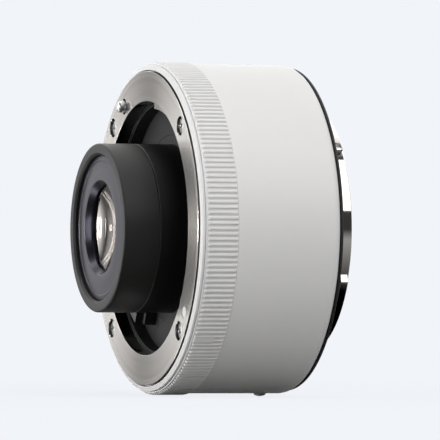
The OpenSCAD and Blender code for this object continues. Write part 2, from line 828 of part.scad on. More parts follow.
module contact_places() {
    for (i = [0:contact_count - 1])
        polar(contact_angle + contact_step * (i - (contact_count - 1) / 2), contact_r) children();
}

module front_contact_block() color("#1a1a1a") lay_down() difference() {
    union() {
        sector(block_in, block_out, contact_depth, throat_depth,
            contact_angle - block_half, contact_angle + block_half);
        for (end = [contact_angle - block_half - step_span, contact_angle + block_half - step_span / 4])
            sector(block_in + step_in, block_out - step_out, contact_depth + step_drop, throat_depth,
                end, end + step_span * 1.25);
    }
    contact_places() {
        rod(pin_d / 2 + fit, 0, pin_step + collar_t);
        rod(pin_collar_r + fit, pin_step, throat_depth + past);
    }
}

module contact_pins() color("gold") lay_down() contact_places() {
    tip = contact_depth - pin_travel;
    rod(pin_d / 2, tip + pin_d / 2, pin_step + 2 * fit);
    at_depth(tip + pin_d / 2) sphere(d = pin_d);
    rod(pin_collar_r, pin_step + fit, pin_step + fit + collar_t);
}

module contact_springs() color("silver") lay_down() contact_places()
    ring(pin_d / 2 - 2 * fit, pin_collar_r, pin_step + 2 * fit + collar_t, throat_depth);

module circuit_board() color("darkgreen") lay_down() difference() {
    ring(board_in, board_out, board_front, board_front + board_t);
    three_places(board_post_angle, post_circle_r)
        rod(small_thread_r + 2 * fit, board_front - past, board_front + board_t + past);
}

module board_chips() color("#202020") lay_down()
    for (chip = chips) polar(chip[0], (board_in + board_out) / 2) at_depth(board_front)
        translate([-chip[1] / 2, -chip[1] / 2, 0]) cube([chip[1], chip[1], chip_t]);

module board_screws() color("gray") lay_down() three_places(board_post_angle, post_circle_r)
    screw(board_front - small_head_t, small_head_r, small_head_t, small_thread_r,
        board_front + board_t + small_thread_len);

module flex(front, back) color("chocolate") lay_down()
    sector(flex_r, flex_r + flex_t, front, back, contact_angle - flex_half, contact_angle + flex_half);

// The slot that a flex passes through
module flex_slot(front, back) {
    sector(flex_r - 2 * slack, flex_r + 2 * slack + flex_t, front, back,
        contact_angle - flex_half * 1.2, contact_angle + flex_half * 1.2);
}

module front_flex() flex(throat_depth, board_front);
module rear_flex() flex(board_front + board_t, baffle_back);

// Rear bayonet

// Cuts the ramp at a claw's leading end, from the claw's top down into the bayonet tube
module ramp_cut(angle) {
    rise = outer_claw_r - outer_tube_r;
    reach = 2 * claw_ramp;
    polar(angle, outer_tube_r - fit) at_depth(flange_gap + spigot_len)
        rotate([0, 0, -atan2(claw_ramp, rise)]) cube([reach, reach, spigot_len]);
}

module rear_mount_ring() color("silver") lay_down() {
    tube_back = flange_gap + spigot_len;
    claw_front = flange_gap + outer_claw_gap;
    relief_front = flange_gap - relief_t;
    difference() {
        union() {
            turned([
                [spigot_r, baffle_back], [rear_r, baffle_back], [rear_r, flange_gap - chamfer],
                [rear_r - chamfer, flange_gap], [relief_r, flange_gap], [relief_r, relief_front],
                [outer_tube_r, relief_front], [outer_tube_r, tube_back - chamfer],
                [outer_tube_r - chamfer, tube_back], [spigot_r, tube_back]
            ]);
            difference() {
                claws(outer_tube_r - fuse, outer_claw_r, claw_front, claw_front + outer_claw_t,
                    outer_claw_start, outer_claw_span);
                for (i = [0:2]) ramp_cut(outer_claw_start + outer_claw_span + 120 * i);
            }
        }
        mount_screw_places(rear_screw_circle) {
            rod(screw_d / 2 + 2 * fit, baffle_back - past, flange_gap + past);
            rod(screw_head_d / 2 + slack, flange_gap - screw_drop - screw_head_t, flange_gap + past);
        }
        polar(lock_angle, lock_r)
            rod(lock_head_d / 2 + notch_gap, flange_gap - notch_t, flange_gap + past);
        radial_rod(stop_angle, stop_r + fit, spigot_r - past, outer_tube_r + past);
    }
}

// A pin that points away from the axis
module radial_rod(angle, radius, from, to) {
    polar(angle, from) at_depth(stop_depth) rotate([0, 90, 0]) cylinder(r = radius, h = to - from);
}

module stop_pin() color("dimgray") lay_down()
    radial_rod(stop_angle, stop_r, spigot_r + fuse, outer_claw_r);

module rear_mount_screws() color("lightgray") lay_down() mount_screw_places(rear_screw_circle)
    rear_screw(flange_gap - screw_drop, screw_head_d / 2, screw_head_t, screw_d / 2,
        web_front + thread_tip);

module rear_shim() color("goldenrod") lay_down() difference() {
    ring(baffle_r + slack, rear_r - chamfer - slack, chassis_rear, baffle_back);
    mount_screw_places(rear_screw_circle) rod(screw_d / 2 + slack, web_front, flange_gap);
}

module rear_seal() color("#181818") lay_down() {
    seal_r = seal_d / 2;
    edge = 2 * fit;
    back = flange_gap - fit;
    turned([
        [rear_r + fit, back - seal_t], [seal_r - edge, back - seal_t], [seal_r, back - seal_t + edge],
        [seal_r, back - edge], [seal_r - edge, back], [rear_r + fit, back]
    ]);
}

module rear_baffle() color("#161616") lay_down() difference() {
    rod(baffle_r, baffle_back - baffle_t, baffle_back);
    at_depth(baffle_back + past) translate([-window_w / 2, -window_h / 2, 0])
        cube([window_w, window_h, baffle_t + 2 * past]);
    flex_slot(baffle_back - 2 * baffle_t, baffle_back + past);
}

module rear_contact_block() color("#1a1a1a") lay_down()
    sector(block_in, block_out, baffle_back, rear_block_back,
        contact_angle - block_half, contact_angle + block_half);

module rear_contacts() color("gold") lay_down() contact_places()
    at_depth(rear_block_back + pad_t) translate([-pad_len / 2, -pad_w / 2, 0])
        cube([pad_len, pad_w, pad_t]);

module rear_index_bead() color("white") lay_down() polar(-90, shell_r - bead_rise)
    at_depth(bead_depth) rotate([0, 90, 0]) intersection() {
        cylinder(d = bead_d, h = 2 * bead_rise);
        translate([0, 0, 2 * bead_rise - bead_d]) sphere(r = bead_d);
    }

body_shell();
grip_ring();
front_rim();
front_chassis();
rear_chassis();
front_mount_ring();
front_mount_screws();
front_shim();
leaf_spring();
front_index_dot();
throat_floor();
floor_screws();
nose_sleeve();
nose_cap();
front_retainer();
lens_tube();
tube_screws();
lens_1();
lens_2();
lens_3();
lens_4();
lens_5();
lens_6();
lens_7();
lens_8();
spacer_1();
spacer_2();
spacer_3();
spacer_4();
rear_retainer();
lock_pin();
lock_carriage();
release_slider();
lock_spring();
front_contact_block();
contact_pins();
contact_springs();
circuit_board();
board_chips();
board_screws();
front_flex();
rear_flex();
rear_mount_ring();
rear_mount_screws();
rear_shim();
rear_seal();
stop_pin();
rear_contact_block();
rear_contacts();
rear_baffle();
rear_index_bead();
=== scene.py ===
# %% [markdown]
# # A camera teleconverter
# A teleconverter is a short tube that sits between a camera and its lens. At the front it has a
# socket like the camera's own, at the rear a bayonet like a lens's, and in the middle a black
# nose that carries a stack of glass. The construction comes from the CAD frame. Here each piece
# that can be seen is modelled again with soft edges and gets the finish that the real one has.

# %% load the frame
import math

import bmesh
import bpy
from mathutils import Matrix, Vector


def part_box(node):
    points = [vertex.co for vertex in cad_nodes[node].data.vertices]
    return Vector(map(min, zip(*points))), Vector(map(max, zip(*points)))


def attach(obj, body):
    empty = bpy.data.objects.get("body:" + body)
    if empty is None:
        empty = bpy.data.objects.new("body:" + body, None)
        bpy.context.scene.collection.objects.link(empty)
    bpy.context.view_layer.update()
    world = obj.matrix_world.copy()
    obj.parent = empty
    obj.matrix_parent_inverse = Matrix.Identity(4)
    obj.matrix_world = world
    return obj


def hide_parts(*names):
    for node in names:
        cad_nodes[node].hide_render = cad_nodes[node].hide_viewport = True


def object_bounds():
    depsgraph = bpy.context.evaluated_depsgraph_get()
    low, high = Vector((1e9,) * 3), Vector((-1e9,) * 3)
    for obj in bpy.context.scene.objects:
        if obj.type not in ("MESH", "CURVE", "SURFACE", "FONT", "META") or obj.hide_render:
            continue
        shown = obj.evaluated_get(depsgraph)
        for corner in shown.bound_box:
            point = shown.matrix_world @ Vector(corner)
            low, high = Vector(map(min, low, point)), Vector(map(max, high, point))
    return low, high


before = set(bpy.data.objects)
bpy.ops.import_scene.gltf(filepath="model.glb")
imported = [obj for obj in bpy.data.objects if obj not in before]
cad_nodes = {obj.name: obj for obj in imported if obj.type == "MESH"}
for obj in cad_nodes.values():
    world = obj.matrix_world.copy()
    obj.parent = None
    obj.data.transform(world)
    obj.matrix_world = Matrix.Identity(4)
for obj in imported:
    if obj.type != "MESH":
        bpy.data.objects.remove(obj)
cad_low, cad_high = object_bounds()
MM = 0.001
print("CAD nodes:", len(cad_nodes), "box in mm:", [round(v / MM, 2) for v in cad_high - cad_low])

# %% [markdown]
# ## Depths and radii
# Everything on a lens is turned about one axis, here Y, with the front towards -Y. A place is
# easiest to write as a radius and a depth behind the front mount face, both in millimetres. The
# main ones are read from the frame, so the looks follow the construction.

# %% read the main sizes
flange_gap = -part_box("front_mount_ring")[0].y / MM


def at(depth):
    """The Y of a depth behind the front mount face."""
    return (depth - flange_gap) * MM


def radius_of(node):
    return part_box(node)[1].x / MM


def front_of(node):
    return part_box(node)[0].y / MM + flange_gap


def back_of(node):
    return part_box(node)[1].y / MM + flange_gap


shell_r = radius_of("body_shell")
front_r = radius_of("front_mount_ring")
rear_r = radius_of("rear_mount_ring")
nose_r = radius_of("nose_cap")
print("flange gap", round(flange_gap, 2), "shell", round(shell_r, 2), "nose", round(nose_r, 2))

# %% [markdown]
# ## The camera
# The photograph was taken with a long lens, almost level with the axis and about 20 degrees off
# to the side. A long focal length keeps the two ends nearly the same size. The camera's place is
# given in its own axes and turned into the frame's axes.

# %% place the camera
view_yaw = math.radians(19.83)
view_tilt = math.radians(-0.43)
view_distance = 1.5
view_right, view_up = 0.01398, 0.00155
sensor_w = 36
focal = 655.4

rearward = Vector((math.cos(view_yaw) * math.cos(view_tilt), math.sin(view_tilt),
                   -math.sin(view_yaw) * math.cos(view_tilt)))
upward = (Vector((0, 1, 0)) - rearward * rearward.y).normalized()
sideward = rearward.cross(upward)
to_frame = Matrix((sideward, rearward, upward))
camera_data = bpy.data.cameras.new("camera")
camera_data.lens = focal
camera_data.sensor_width = sensor_w
camera_data.clip_start, camera_data.clip_end = 0.05, 50
camera = bpy.data.objects.new("camera", camera_data)
camera.matrix_world = Matrix.Translation(
    to_frame @ Vector((view_right, view_up, view_distance)) + Vector((0, at(0), 0))
) @ to_frame.to_4x4()
bpy.context.scene.collection.objects.link(camera)
bpy.context.scene.camera = camera
print("camera at", [round(v, 4) for v in camera.matrix_world.translation])

# %% [markdown]
# ## Shader groups
# Three effects come back in many finishes: a fine grain, the lathe's turning marks and a mask on
# rounded edges for a painted highlight, on steel partly wear. Each is a node group that is built
# once. A group only puts out values that change over the surface, and each material has its own
# shader.

# %% build the shader groups


def add_node(tree, kind, inputs=None, **settings):
    """A new node. Each input is a plain value or another node's output."""
    node = tree.nodes.new(kind)
    for name, value in settings.items():
        setattr(node, name, value)
    for socket, value in (inputs or {}).items():
        if isinstance(value, bpy.types.NodeSocket):
            tree.links.new(value, node.inputs[socket])
        else:
            node.inputs[socket].default_value = value
    return node


def calc(tree, operation, *values, **settings):
    """The result of one math node."""
    return add_node(tree, "ShaderNodeMath", dict(enumerate(values)), operation=operation,
                    **settings).outputs[0]


def ramp(tree, value, start, end, **settings):
    """A value carried from the range start to the range end."""
    return add_node(tree, "ShaderNodeMapRange", {
        "Value": value, "From Min": start[0], "From Max": start[1], "To Min": end[0],
        "To Max": end[1]}, **settings).outputs[0]


def mix_colours(tree, share, first, second):
    return add_node(tree, "ShaderNodeMix", {"Factor": share, 6: first, 7: second},
                    data_type="RGBA").outputs[2]


def mix_levels(tree, share, first, second):
    return add_node(tree, "ShaderNodeMix", {"Factor": share, 2: first, 3: second}).outputs[0]


def new_group(name, inputs, outputs):
    group = bpy.data.node_groups.new(name, "ShaderNodeTree")
    for label, value in inputs.items():
        socket = group.interface.new_socket(name=label, in_out="INPUT",
                                            socket_type="NodeSocketFloat")
        socket.default_value = value
    for label in outputs:
        group.interface.new_socket(name=label, in_out="OUTPUT", socket_type="NodeSocketFloat")
    return group, add_node(group, "NodeGroupInput"), add_node(group, "NodeGroupOutput")


def make_grain_group():
    """Grain: a fine height and a slow cloudy shade."""
    group, given, made = new_group("Grain", {"Grains per metre": 4000, "Clouds per metre": 60},
                                   ("Height", "Shade"))
    place = add_node(group, "ShaderNodeTexCoord").outputs["Object"]
    fine = add_node(group, "ShaderNodeTexNoise", {
        "Vector": place, "Scale": given.outputs[0], "Detail": 2.0, "Roughness": 0.6})
    cloud = add_node(group, "ShaderNodeTexNoise", {
        "Vector": place, "Scale": given.outputs[1], "Detail": 3.0})
    group.links.new(fine.outputs[0], made.inputs["Height"])
    group.links.new(cloud.outputs[0], made.inputs["Shade"])
    return group


def make_turning_group():
    """Turning: lathe marks that run round the Y axis, on flat faces and on cylinders alike."""
    group, given, made = new_group("Turning", {"Lines per metre": 9000, "Bands per metre": 900},
                                   ("Height", "Shade"))
    place = add_node(group, "ShaderNodeTexCoord").outputs["Object"]
    x, y, z = add_node(group, "ShaderNodeSeparateXYZ", {0: place}).outputs
    across = add_node(group, "ShaderNodeCombineXYZ", {0: x, 2: z}).outputs[0]
    radius = add_node(group, "ShaderNodeVectorMath", {0: across}, operation="LENGTH")
    along = calc(group, "ADD", radius.outputs["Value"], y)
    for label, rate in (("Height", 0), ("Shade", 1)):
        step = calc(group, "MULTIPLY", along, given.outputs[rate])
        lines = add_node(group, "ShaderNodeTexNoise", {"W": step, "Scale": 1.0, "Detail": 3.0},
                         noise_dimensions="1D")
        group.links.new(lines.outputs[0], made.inputs[label])
    return group


def make_edge_group():
    """Edge: a mask that is 1 along rounded edges and 0 on open faces."""
    group, given, made = new_group("Edge", {"Width": 0.00015, "Gain": 6.0}, ("Mask",))
    rounded = add_node(group, "ShaderNodeBevel", {"Radius": given.outputs[0]}, samples=6)
    face = add_node(group, "ShaderNodeNewGeometry")
    likeness = add_node(group, "ShaderNodeVectorMath", {
        0: rounded.outputs[0], 1: face.outputs["Normal"]}, operation="DOT_PRODUCT")
    turn = calc(group, "SUBTRACT", 1.0, likeness.outputs["Value"])
    mask = calc(group, "MULTIPLY", turn, given.outputs[1], use_clamp=True)
    group.links.new(mask, made.inputs["Mask"])
    return group


grain_group = make_grain_group()
turning_group = make_turning_group()
edge_group = make_edge_group()
print("shader groups:", [g.name for g in bpy.data.node_groups])

# %% [markdown]
# ## Finishes
# A finish is a Principled shader whose colour, roughness and bump come from a pattern: grain for
# paint, plastic and rubber, turning marks for metal. Rounded edges mix in a lighter colour, a
# painted highlight that on steel is partly wear, and the front socket's walls a dark colour,
# painted shade.
# What is the same all over, such as metalness, is set on the shader's own socket.

# %% make the finishes
WHOLE = (0.0, 1.0)
WALL_FACING = (0.6, 0.8)
wall_roughness = 0.5
BRUSHED = {"Anisotropic": 0.9, "Anisotropic Rotation": 0.25}
METAL = {"Metallic": 1.0}
DULL = {"Specular IOR Level": 0.25}


def new_material(name):
    material = bpy.data.materials.new(name)
    material.use_nodes = True
    return material, material.node_tree, material.node_tree.nodes["Principled BSDF"]


def set_plain(shader, settings):
    for label, value in settings.items():
        shader.inputs[label].default_value = value


def wall_mask(tree):
    """1 on walls that run along the axis and 0 on faces across it."""
    facing = add_node(tree, "ShaderNodeTexCoord").outputs["Normal"]
    along = add_node(tree, "ShaderNodeSeparateXYZ", {0: facing}).outputs[1]
    return ramp(tree, calc(tree, "ABSOLUTE", along), WALL_FACING, (1.0, 0.0))


def finish(name, pattern, low, high, rough, bump, edge_sheen_and_wear=None, settings=None, brushed=False,
           walls=None):
    """low and high are the colours that the pattern's shade mixes, rough its range of roughness,
    bump the height of its relief in metres, the edge colour a lighter colour mixed onto rounded
    edges, a painted highlight that on steel is partly wear, and settings plain sockets. A brushed
    finish spreads its reflections across the turning marks on flat faces and has smoother walls.
    walls is a dark colour for those walls, painted shade."""
    material, tree, shader = new_material(name)
    source = add_node(tree, "ShaderNodeGroup", node_tree=pattern)
    shade = source.outputs["Shade"]
    shown = mix_colours(tree, shade, (*low, 1), (*high, 1))
    # Rounded edges take a lighter colour: a painted highlight, on steel partly wear.
    if edge_sheen_and_wear:
        edge = add_node(tree, "ShaderNodeGroup", node_tree=edge_group)
        shown = mix_colours(tree, edge.outputs["Mask"], shown, (*edge_sheen_and_wear, 1))
    # walls mixes a dark colour onto faces that run along the axis: painted shade.
    if walls:
        shown = mix_colours(tree, wall_mask(tree), shown, (*walls, 1))
    tree.links.new(shown, shader.inputs["Base Color"])
    spread = ramp(tree, shade, WHOLE, rough)
    if brushed:
        share = ramp(tree, wall_mask(tree), WHOLE, (1.0, wall_roughness))
        spread = calc(tree, "MULTIPLY", spread, share)
        around = add_node(tree, "ShaderNodeTangent", direction_type="RADIAL", axis="Y")
        tree.links.new(around.outputs[0], shader.inputs["Tangent"])
        set_plain(shader, BRUSHED)
    tree.links.new(spread, shader.inputs["Roughness"])
    relief = add_node(tree, "ShaderNodeBump", {"Height": source.outputs["Height"],
                                               "Strength": 1.0, "Distance": bump})
    tree.links.new(relief.outputs[0], shader.inputs["Normal"])
    set_plain(shader, settings or {})
    return material


def grey(level, warmth=0.0):
    return (level * (1 + warmth), level, level * (1 - warmth))


# White coat: its light edge colour is a painted highlight on the ribs' crests and the rim's edges.
white_coat = finish("white_coat", grain_group, grey(0.77, 0.008), grey(0.81, 0.008),
                    (0.40, 0.48), 2.0e-6, edge_sheen_and_wear=grey(0.94, 0.006), settings=DULL)
mount_steel = finish("mount_steel", turning_group, grey(0.60, 0.05), grey(0.68, 0.05),
                     (0.17, 0.22), 0.6e-6, edge_sheen_and_wear=grey(0.82, 0.03), settings=METAL, brushed=True)
# Front socket: its dark walls colour is painted shade on the ring's side walls, the gap to the
# white rim, the screw seats and the throat bore.
socket_steel = finish("socket_steel", turning_group, grey(0.64, 0.05), grey(0.72, 0.05),
                      (0.17, 0.22), 0.6e-6, settings=METAL, brushed=True, walls=grey(0.07))
screw_steel = finish("screw_steel", turning_group, grey(0.50), grey(0.62), (0.26, 0.34), 0.6e-6,
                     settings=METAL)
pin_steel = finish("pin_steel", turning_group, grey(0.45), grey(0.6), (0.3, 0.4), 0.6e-6,
                   settings=METAL)
spring_steel = finish("spring_steel", grain_group, grey(0.50), grey(0.6), (0.28, 0.36), 0.4e-6,
                      settings=METAL)
shim_brass = finish("shim_brass", grain_group, (0.60, 0.42, 0.18), (0.68, 0.50, 0.24),
                    (0.3, 0.4), 0.4e-6, settings=METAL)
contact_gold = finish("contact_gold", grain_group, (0.78, 0.53, 0.20), (0.84, 0.60, 0.27),
                      (0.2, 0.3), 0.4e-6, settings=METAL)
black_alloy = finish("black_alloy", turning_group, grey(0.018), grey(0.028), (0.45, 0.6), 1.5e-6)
throat_black = finish("throat_black", grain_group, grey(0.008), grey(0.012), (0.5, 0.62), 3.0e-6,
                      settings=DULL)
# Black sleeve: its light edge colour is a painted light line along the seam to the cap and its
# other edges.
sleeve_black = finish("sleeve_black", turning_group, grey(0.006), grey(0.009), (0.38, 0.48),
                      1.0e-6, edge_sheen_and_wear=grey(0.6), settings=DULL)
# Grey cap: its lighter edge colour is a painted sheen on the cap's rounded lip.
cap_grey = finish("cap_grey", grain_group, grey(0.016), grey(0.022), (0.42, 0.52), 4.0e-6,
                  edge_sheen_and_wear=grey(0.25), settings=DULL)
retainer_grey = finish("retainer_grey", turning_group, (0.045, 0.043, 0.054),
                       (0.058, 0.055, 0.069), (0.28, 0.34), 1.0e-6, settings=METAL)
block_black = finish("block_black", grain_group, grey(0.014), grey(0.022), (0.4, 0.5), 2.0e-6)
slider_black = finish("slider_black", grain_group, grey(0.02), grey(0.03), (0.42, 0.52), 4.0e-6,
                      edge_sheen_and_wear=grey(0.05))
seal_rubber = finish("seal_rubber", grain_group, grey(0.012), grey(0.018), (0.6, 0.7), 3.0e-6)
white_mark = finish("white_mark", grain_group, grey(0.78), grey(0.84), (0.4, 0.5), 1.0e-6)
board_green = finish("board_green", grain_group, (0.01, 0.07, 0.03), (0.015, 0.10, 0.045),
                     (0.35, 0.45), 1.0e-6)
flex_film = finish("flex_film", grain_group, (0.30, 0.13, 0.03), (0.36, 0.17, 0.05), (0.3, 0.4),
                   0.5e-6)
print("finishes:", len(bpy.data.materials))

# %% [markdown]
# ## Glass
# Lens glass is clear and smooth, and it reflects a little more at a low angle. Its coating gives
# a warm brown tint to what it reflects. A trace of cloudiness in the roughness keeps it from
# looking like an ideal surface.

# %% make the glass
GLASS = {"Base Color": (0.98, 0.96, 0.93, 1), "Transmission Weight": 1.0, "IOR": 1.85,
         "Specular Tint": (1.0, 0.9, 0.85, 1)}
GLASS_ROUGHNESS = (0.0, 0.02)


def make_glass():
    material, tree, shader = new_material("coated_glass")
    film = add_node(tree, "ShaderNodeGroup", node_tree=grain_group)
    spread = ramp(tree, film.outputs["Shade"], WHOLE, GLASS_ROUGHNESS)
    tree.links.new(spread, shader.inputs["Roughness"])
    set_plain(shader, GLASS)
    return material


coated_glass = make_glass()
print("glass made")

# %% [markdown]
# ## Tools for turned pieces
# Most pieces are lathe work, so the basic tool draws half of a cross-section, rounds its corners
# and spins it about the axis. A corner is a radius, a depth and how far its rounding reaches. A
# second tool spins the same kind of outline through part of a turn, for claws and blocks.

# %% define the turning tools
FINE_STEPS = 256
MERGE_REACH = 1e-7
SHARP_TURN = math.radians(35)


def everything(bm):
    return bm.verts[:] + bm.edges[:] + bm.faces[:]


def round_off(bm, geom, size, segments, affect="EDGES"):
    """Rounds edges or corners. size is how far the rounding reaches, in millimetres."""
    bmesh.ops.bevel(bm, geom=geom, offset=size * MM, offset_type="OFFSET", segments=segments,
                    profile=0.5, affect=affect, clamp_overlap=True, material=-1)


def spin(bm, geom, angle, steps, merge=False, copies=False):
    """Carries geometry round the Y axis as a skin, or sets copies of it round the axis."""
    return bmesh.ops.spin(bm, geom=geom, cent=(0, 0, 0), axis=(0, 1, 0), dvec=(0, 0, 0),
                          angle=angle, steps=steps, use_merge=merge, use_normal_flip=False,
                          use_duplicate=copies)["geom_last"]


def draw_outline(bm, corners):
    """A flat face from corners of (radius, depth[, rounding]), with the rounding cut into it."""
    points = [bm.verts.new((corner[0] * MM, at(corner[1]), 0)) for corner in corners]
    bm.faces.new(points)
    for size in sorted({corner[2] for corner in corners if len(corner) > 2}):
        chosen = [p for p, corner in zip(points, corners) if len(corner) > 2 and corner[2] == size]
        round_off(bm, chosen, size, 4, "VERTICES")


def settle(bm):
    bmesh.ops.remove_doubles(bm, verts=bm.verts, dist=MERGE_REACH)
    bmesh.ops.recalc_face_normals(bm, faces=bm.faces)
    return bm


def turned(corners, steps=FINE_STEPS):
    """A full turn of the outline."""
    bm = bmesh.new()
    draw_outline(bm, corners)
    bmesh.ops.delete(bm, geom=bm.faces[:], context="FACES_ONLY")
    spin(bm, everything(bm), math.tau, steps, merge=True)
    return settle(bm)


def soften(bm, width, least_turn=40):
    """Rounds every edge that turns by more than least_turn degrees."""
    round_off(bm, [e for e in bm.edges if len(e.link_faces) == 2
                   and e.calc_face_angle(0) > math.radians(least_turn)], width, 2)


def sector(r_in, r_out, front, back, start, span, steps, soft=0.0, round_in=0, round_out=0):
    """A block between two radii and two depths, from the angle start through span in degrees.
    round_in and round_out are the roundings of its long edges, soft that of all sharp ones."""
    corners = [(r_in, front, round_in), (r_out, front, round_out), (r_out, back, round_out),
               (r_in, back, round_in)]
    bm = bmesh.new()
    draw_outline(bm, [corner if corner[2] else corner[:2] for corner in corners])
    bmesh.ops.rotate(bm, verts=bm.verts, cent=(0, 0, 0),
                     matrix=Matrix.Rotation(-math.radians(start), 3, "Y"))
    spin(bm, everything(bm), -math.radians(span), steps)
    settle(bm)
    if soft:
        soften(bm, soft)
    return bm


def join(*meshes):
    """One bmesh with the contents of several."""
    whole = bmesh.new()
    for part in meshes:
        carrier = bpy.data.meshes.new("carrier")
        part.to_mesh(carrier)
        part.free()
        whole.from_mesh(carrier)
        bpy.data.meshes.remove(carrier)
    return whole


def as_object(name, bm):
    """An object in the scene that takes over the bmesh."""
    mesh = bpy.data.meshes.new(name)
    bm.to_mesh(mesh)
    bm.free()
    made = bpy.data.objects.new(name, mesh)
    bpy.context.scene.collection.objects.link(made)
    return made


def carve(bm, tool, operation="DIFFERENCE"):
    """Cuts the tool out of a closed shape, or joins it on, and gives back the result."""
    holders = [as_object("scratch", shape) for shape in (bm, tool)]
    cut = holders[0].modifiers.new("cut", "BOOLEAN")
    cut.operation, cut.solver, cut.object = operation, "EXACT", holders[1]
    shaped = holders[0].evaluated_get(bpy.context.evaluated_depsgraph_get())
    result = bmesh.new()
    result.from_mesh(shaped.to_mesh())
    shaped.to_mesh_clear()
    for holder in holders:
        spent = holder.data
        bpy.data.objects.remove(holder)
        bpy.data.meshes.remove(spent)
    bmesh.ops.remove_doubles(result, verts=result.verts, dist=MERGE_REACH)
    return result


def carve_all(bm, tools, operation):
    for tool in tools:
        bm = carve(bm, tool, operation)
    return bm


def place_piece(name, bm, material, body, slot, *replaced):
    """Makes the object, rides it on its body and lets it stand for its CAD nodes."""
    piece = as_object(name, bm)
    mesh = piece.data
    mesh.shade_smooth()
    mesh.set_sharp_from_angle(angle=SHARP_TURN)
    mesh.materials.append(material)
    even = piece.modifiers.new("even_normals", "WEIGHTED_NORMAL")
    even.keep_sharp = True
    depsgraph = bpy.context.evaluated_depsgraph_get()
    piece.data = bpy.data.meshes.new_from_object(
        piece.evaluated_get(depsgraph), depsgraph=depsgraph, preserve_all_data_layers=True)
    piece.modifiers.clear()
    bpy.data.meshes.remove(mesh)
    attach(piece, body)
    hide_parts(*replaced)
    print(name, "faces", len(piece.data.polygons))


# %% [markdown]
# ## Small tools
# Holes, screws and pins are small turned shapes that stand on a face. They are drawn round the Y
# axis at the frame's origin, with the depth counted from the face, and then carried to their place.
# Pads and windows are thin plates.

# %% define the small tools
SMALL_STEPS = 40


def moved(bm, matrix):
    bmesh.ops.transform(bm, matrix=matrix, verts=bm.verts)
    return bm


def polar_matrix(angle, radius, depth):
    """Carries a shape drawn round the frame's origin to a place on the barrel's front or rear."""
    turn = Matrix.Rotation(-math.radians(angle), 4, "Y")
    return turn @ Matrix.Translation((radius * MM, depth * MM, 0))


def peg(corners, steps=SMALL_STEPS):
    """A small turned shape about its own axis. Depths count from the frame's origin."""
    return turned([(c[0], c[1] + flange_gap, *c[2:]) for c in corners], steps)


def hole_tool(radius, depth, place, flare=0.08, past=0.5):
    """A cutter for a hole with a broken edge. It stands in front of the face by past."""
    return moved(peg([(0, -past), (radius + flare + past, -past), (radius, flare), (radius, depth),
                      (0, depth)]), place)


def plate(width, thickness, height):
    bm = bmesh.new()
    bmesh.ops.create_cube(bm, size=1)
    bmesh.ops.scale(bm, vec=(width * MM, thickness * MM, height * MM), verts=bm.verts)
    return bm


def rounded_plate(width, thickness, height, corner, segments):
    bm = plate(width, thickness, height)
    least = thickness * MM / 2
    round_off(bm, [e for e in bm.edges if abs((e.verts[0].co - e.verts[1].co).y) > least],
              corner, segments)
    return bm


print("tools ready")

# %% [markdown]
# ## The barrel
# The barrel is a thin white shell with one generous radius at the rear, where it curves in to the
# seal. The slot that the release slider's stem runs in is cut through it on the far side.

# %% barrel
shell_front, shell_rear = front_of("body_shell"), back_of("body_shell")
shell_in, pocket_r, pocket_front, lip_in, lip_front = 29.5, 29.15, 26.5, 28.15, 25.7
slot_angle, slot_half, slot_front, slot_back, slot_past = 125.5, 2.6, 9.1, 13.0, 1
barrel = turned([
    (shell_in, shell_front), (shell_r, shell_front, 0.1), (shell_r, shell_rear, 1.45),
    (pocket_r, shell_rear, 0.08), (pocket_r, pocket_front), (lip_in, pocket_front),
    (lip_in, lip_front), (shell_in, lip_front)])
slot_tool = sector(shell_in - slot_past, shell_r + slot_past, slot_front, slot_back,
                   slot_angle - slot_half, 2 * slot_half, 4, round_in=0.4, round_out=0.4)
place_piece("barrel", carve(barrel, slot_tool), white_coat, "converter", "white_coat",
            "body_shell")

# %% [markdown]
# ## The knurled grip
# The grip has 198 fine ribs. One step of the pattern is a strip for the groove and a strip for the
# rib's foot. Copies of it are set round the axis, then every foot is inset and raised in one go,
# which gives the ribs their sloping sides. Their front ends are drawn back into a ramp.

# %% knurled grip
grip_front, grip_back = front_of("grip_ring"), back_of("grip_ring")
grip_r = radius_of("grip_ring")
rib_count, rib_depth, rib_foot, rib_top = 198, 0.4, 0.7, 0.36
rib_pitch = math.tau / rib_count
foot_r = grip_r - rib_depth
crest_round, front_ramp = 0.11, 0.12
pad_angle, pad_half, pad_lead, pad_back = -41.2, 1.6, 0.06, 5.36
pad_sink, pad_drop = 0.7, 0.02


def knurled_band():
    bm = bmesh.new()
    ends = [bm.verts.new((foot_r * MM, at(depth), 0)) for depth in (grip_front, grip_back)]
    start = ends + [bm.edges.new(ends)]
    bmesh.ops.rotate(bm, verts=ends, cent=(0, 0, 0),
                     matrix=Matrix.Rotation(rib_foot / 2 * rib_pitch, 3, "Y"))
    for share in (rib_foot, 1 - rib_foot):
        start = spin(bm, start, -share * rib_pitch, 1)
    bm.faces.ensure_lookup_table()
    bm.faces[0].material_index = 1
    spin(bm, everything(bm), math.tau - rib_pitch, rib_count - 1, copies=True)
    bmesh.ops.remove_doubles(bm, verts=bm.verts, dist=1e-6)
    return bm


def raise_ribs(bm):
    """Feet are the faces with material index 1. They rise and get rounded crests."""
    for face in bm.faces:
        face.normal_update()
        middle = face.calc_center_median()
        if face.normal.dot(Vector((middle.x, 0, middle.z))) < 0:
            face.normal_flip()
    feet = [face for face in bm.faces if face.material_index == 1]
    flank = (rib_foot - rib_top) / 2 * rib_pitch * grip_r * MM
    bmesh.ops.inset_individual(bm, faces=feet, thickness=flank, depth=rib_depth * MM,
                               use_even_offset=True, use_interpolate=False,
                               use_relative_offset=False)
    tops = {vert for face in feet for vert in face.verts}
    fronts = [vert for vert in tops if vert.co.y < at((grip_front + grip_back) / 2)]
    bmesh.ops.translate(bm, verts=fronts, vec=(0, front_ramp * MM, 0))
    crests = {edge for face in feet for edge in face.edges}
    for face in bm.faces:
        face.material_index = 0
    round_off(bm, list(crests), crest_round, 3)


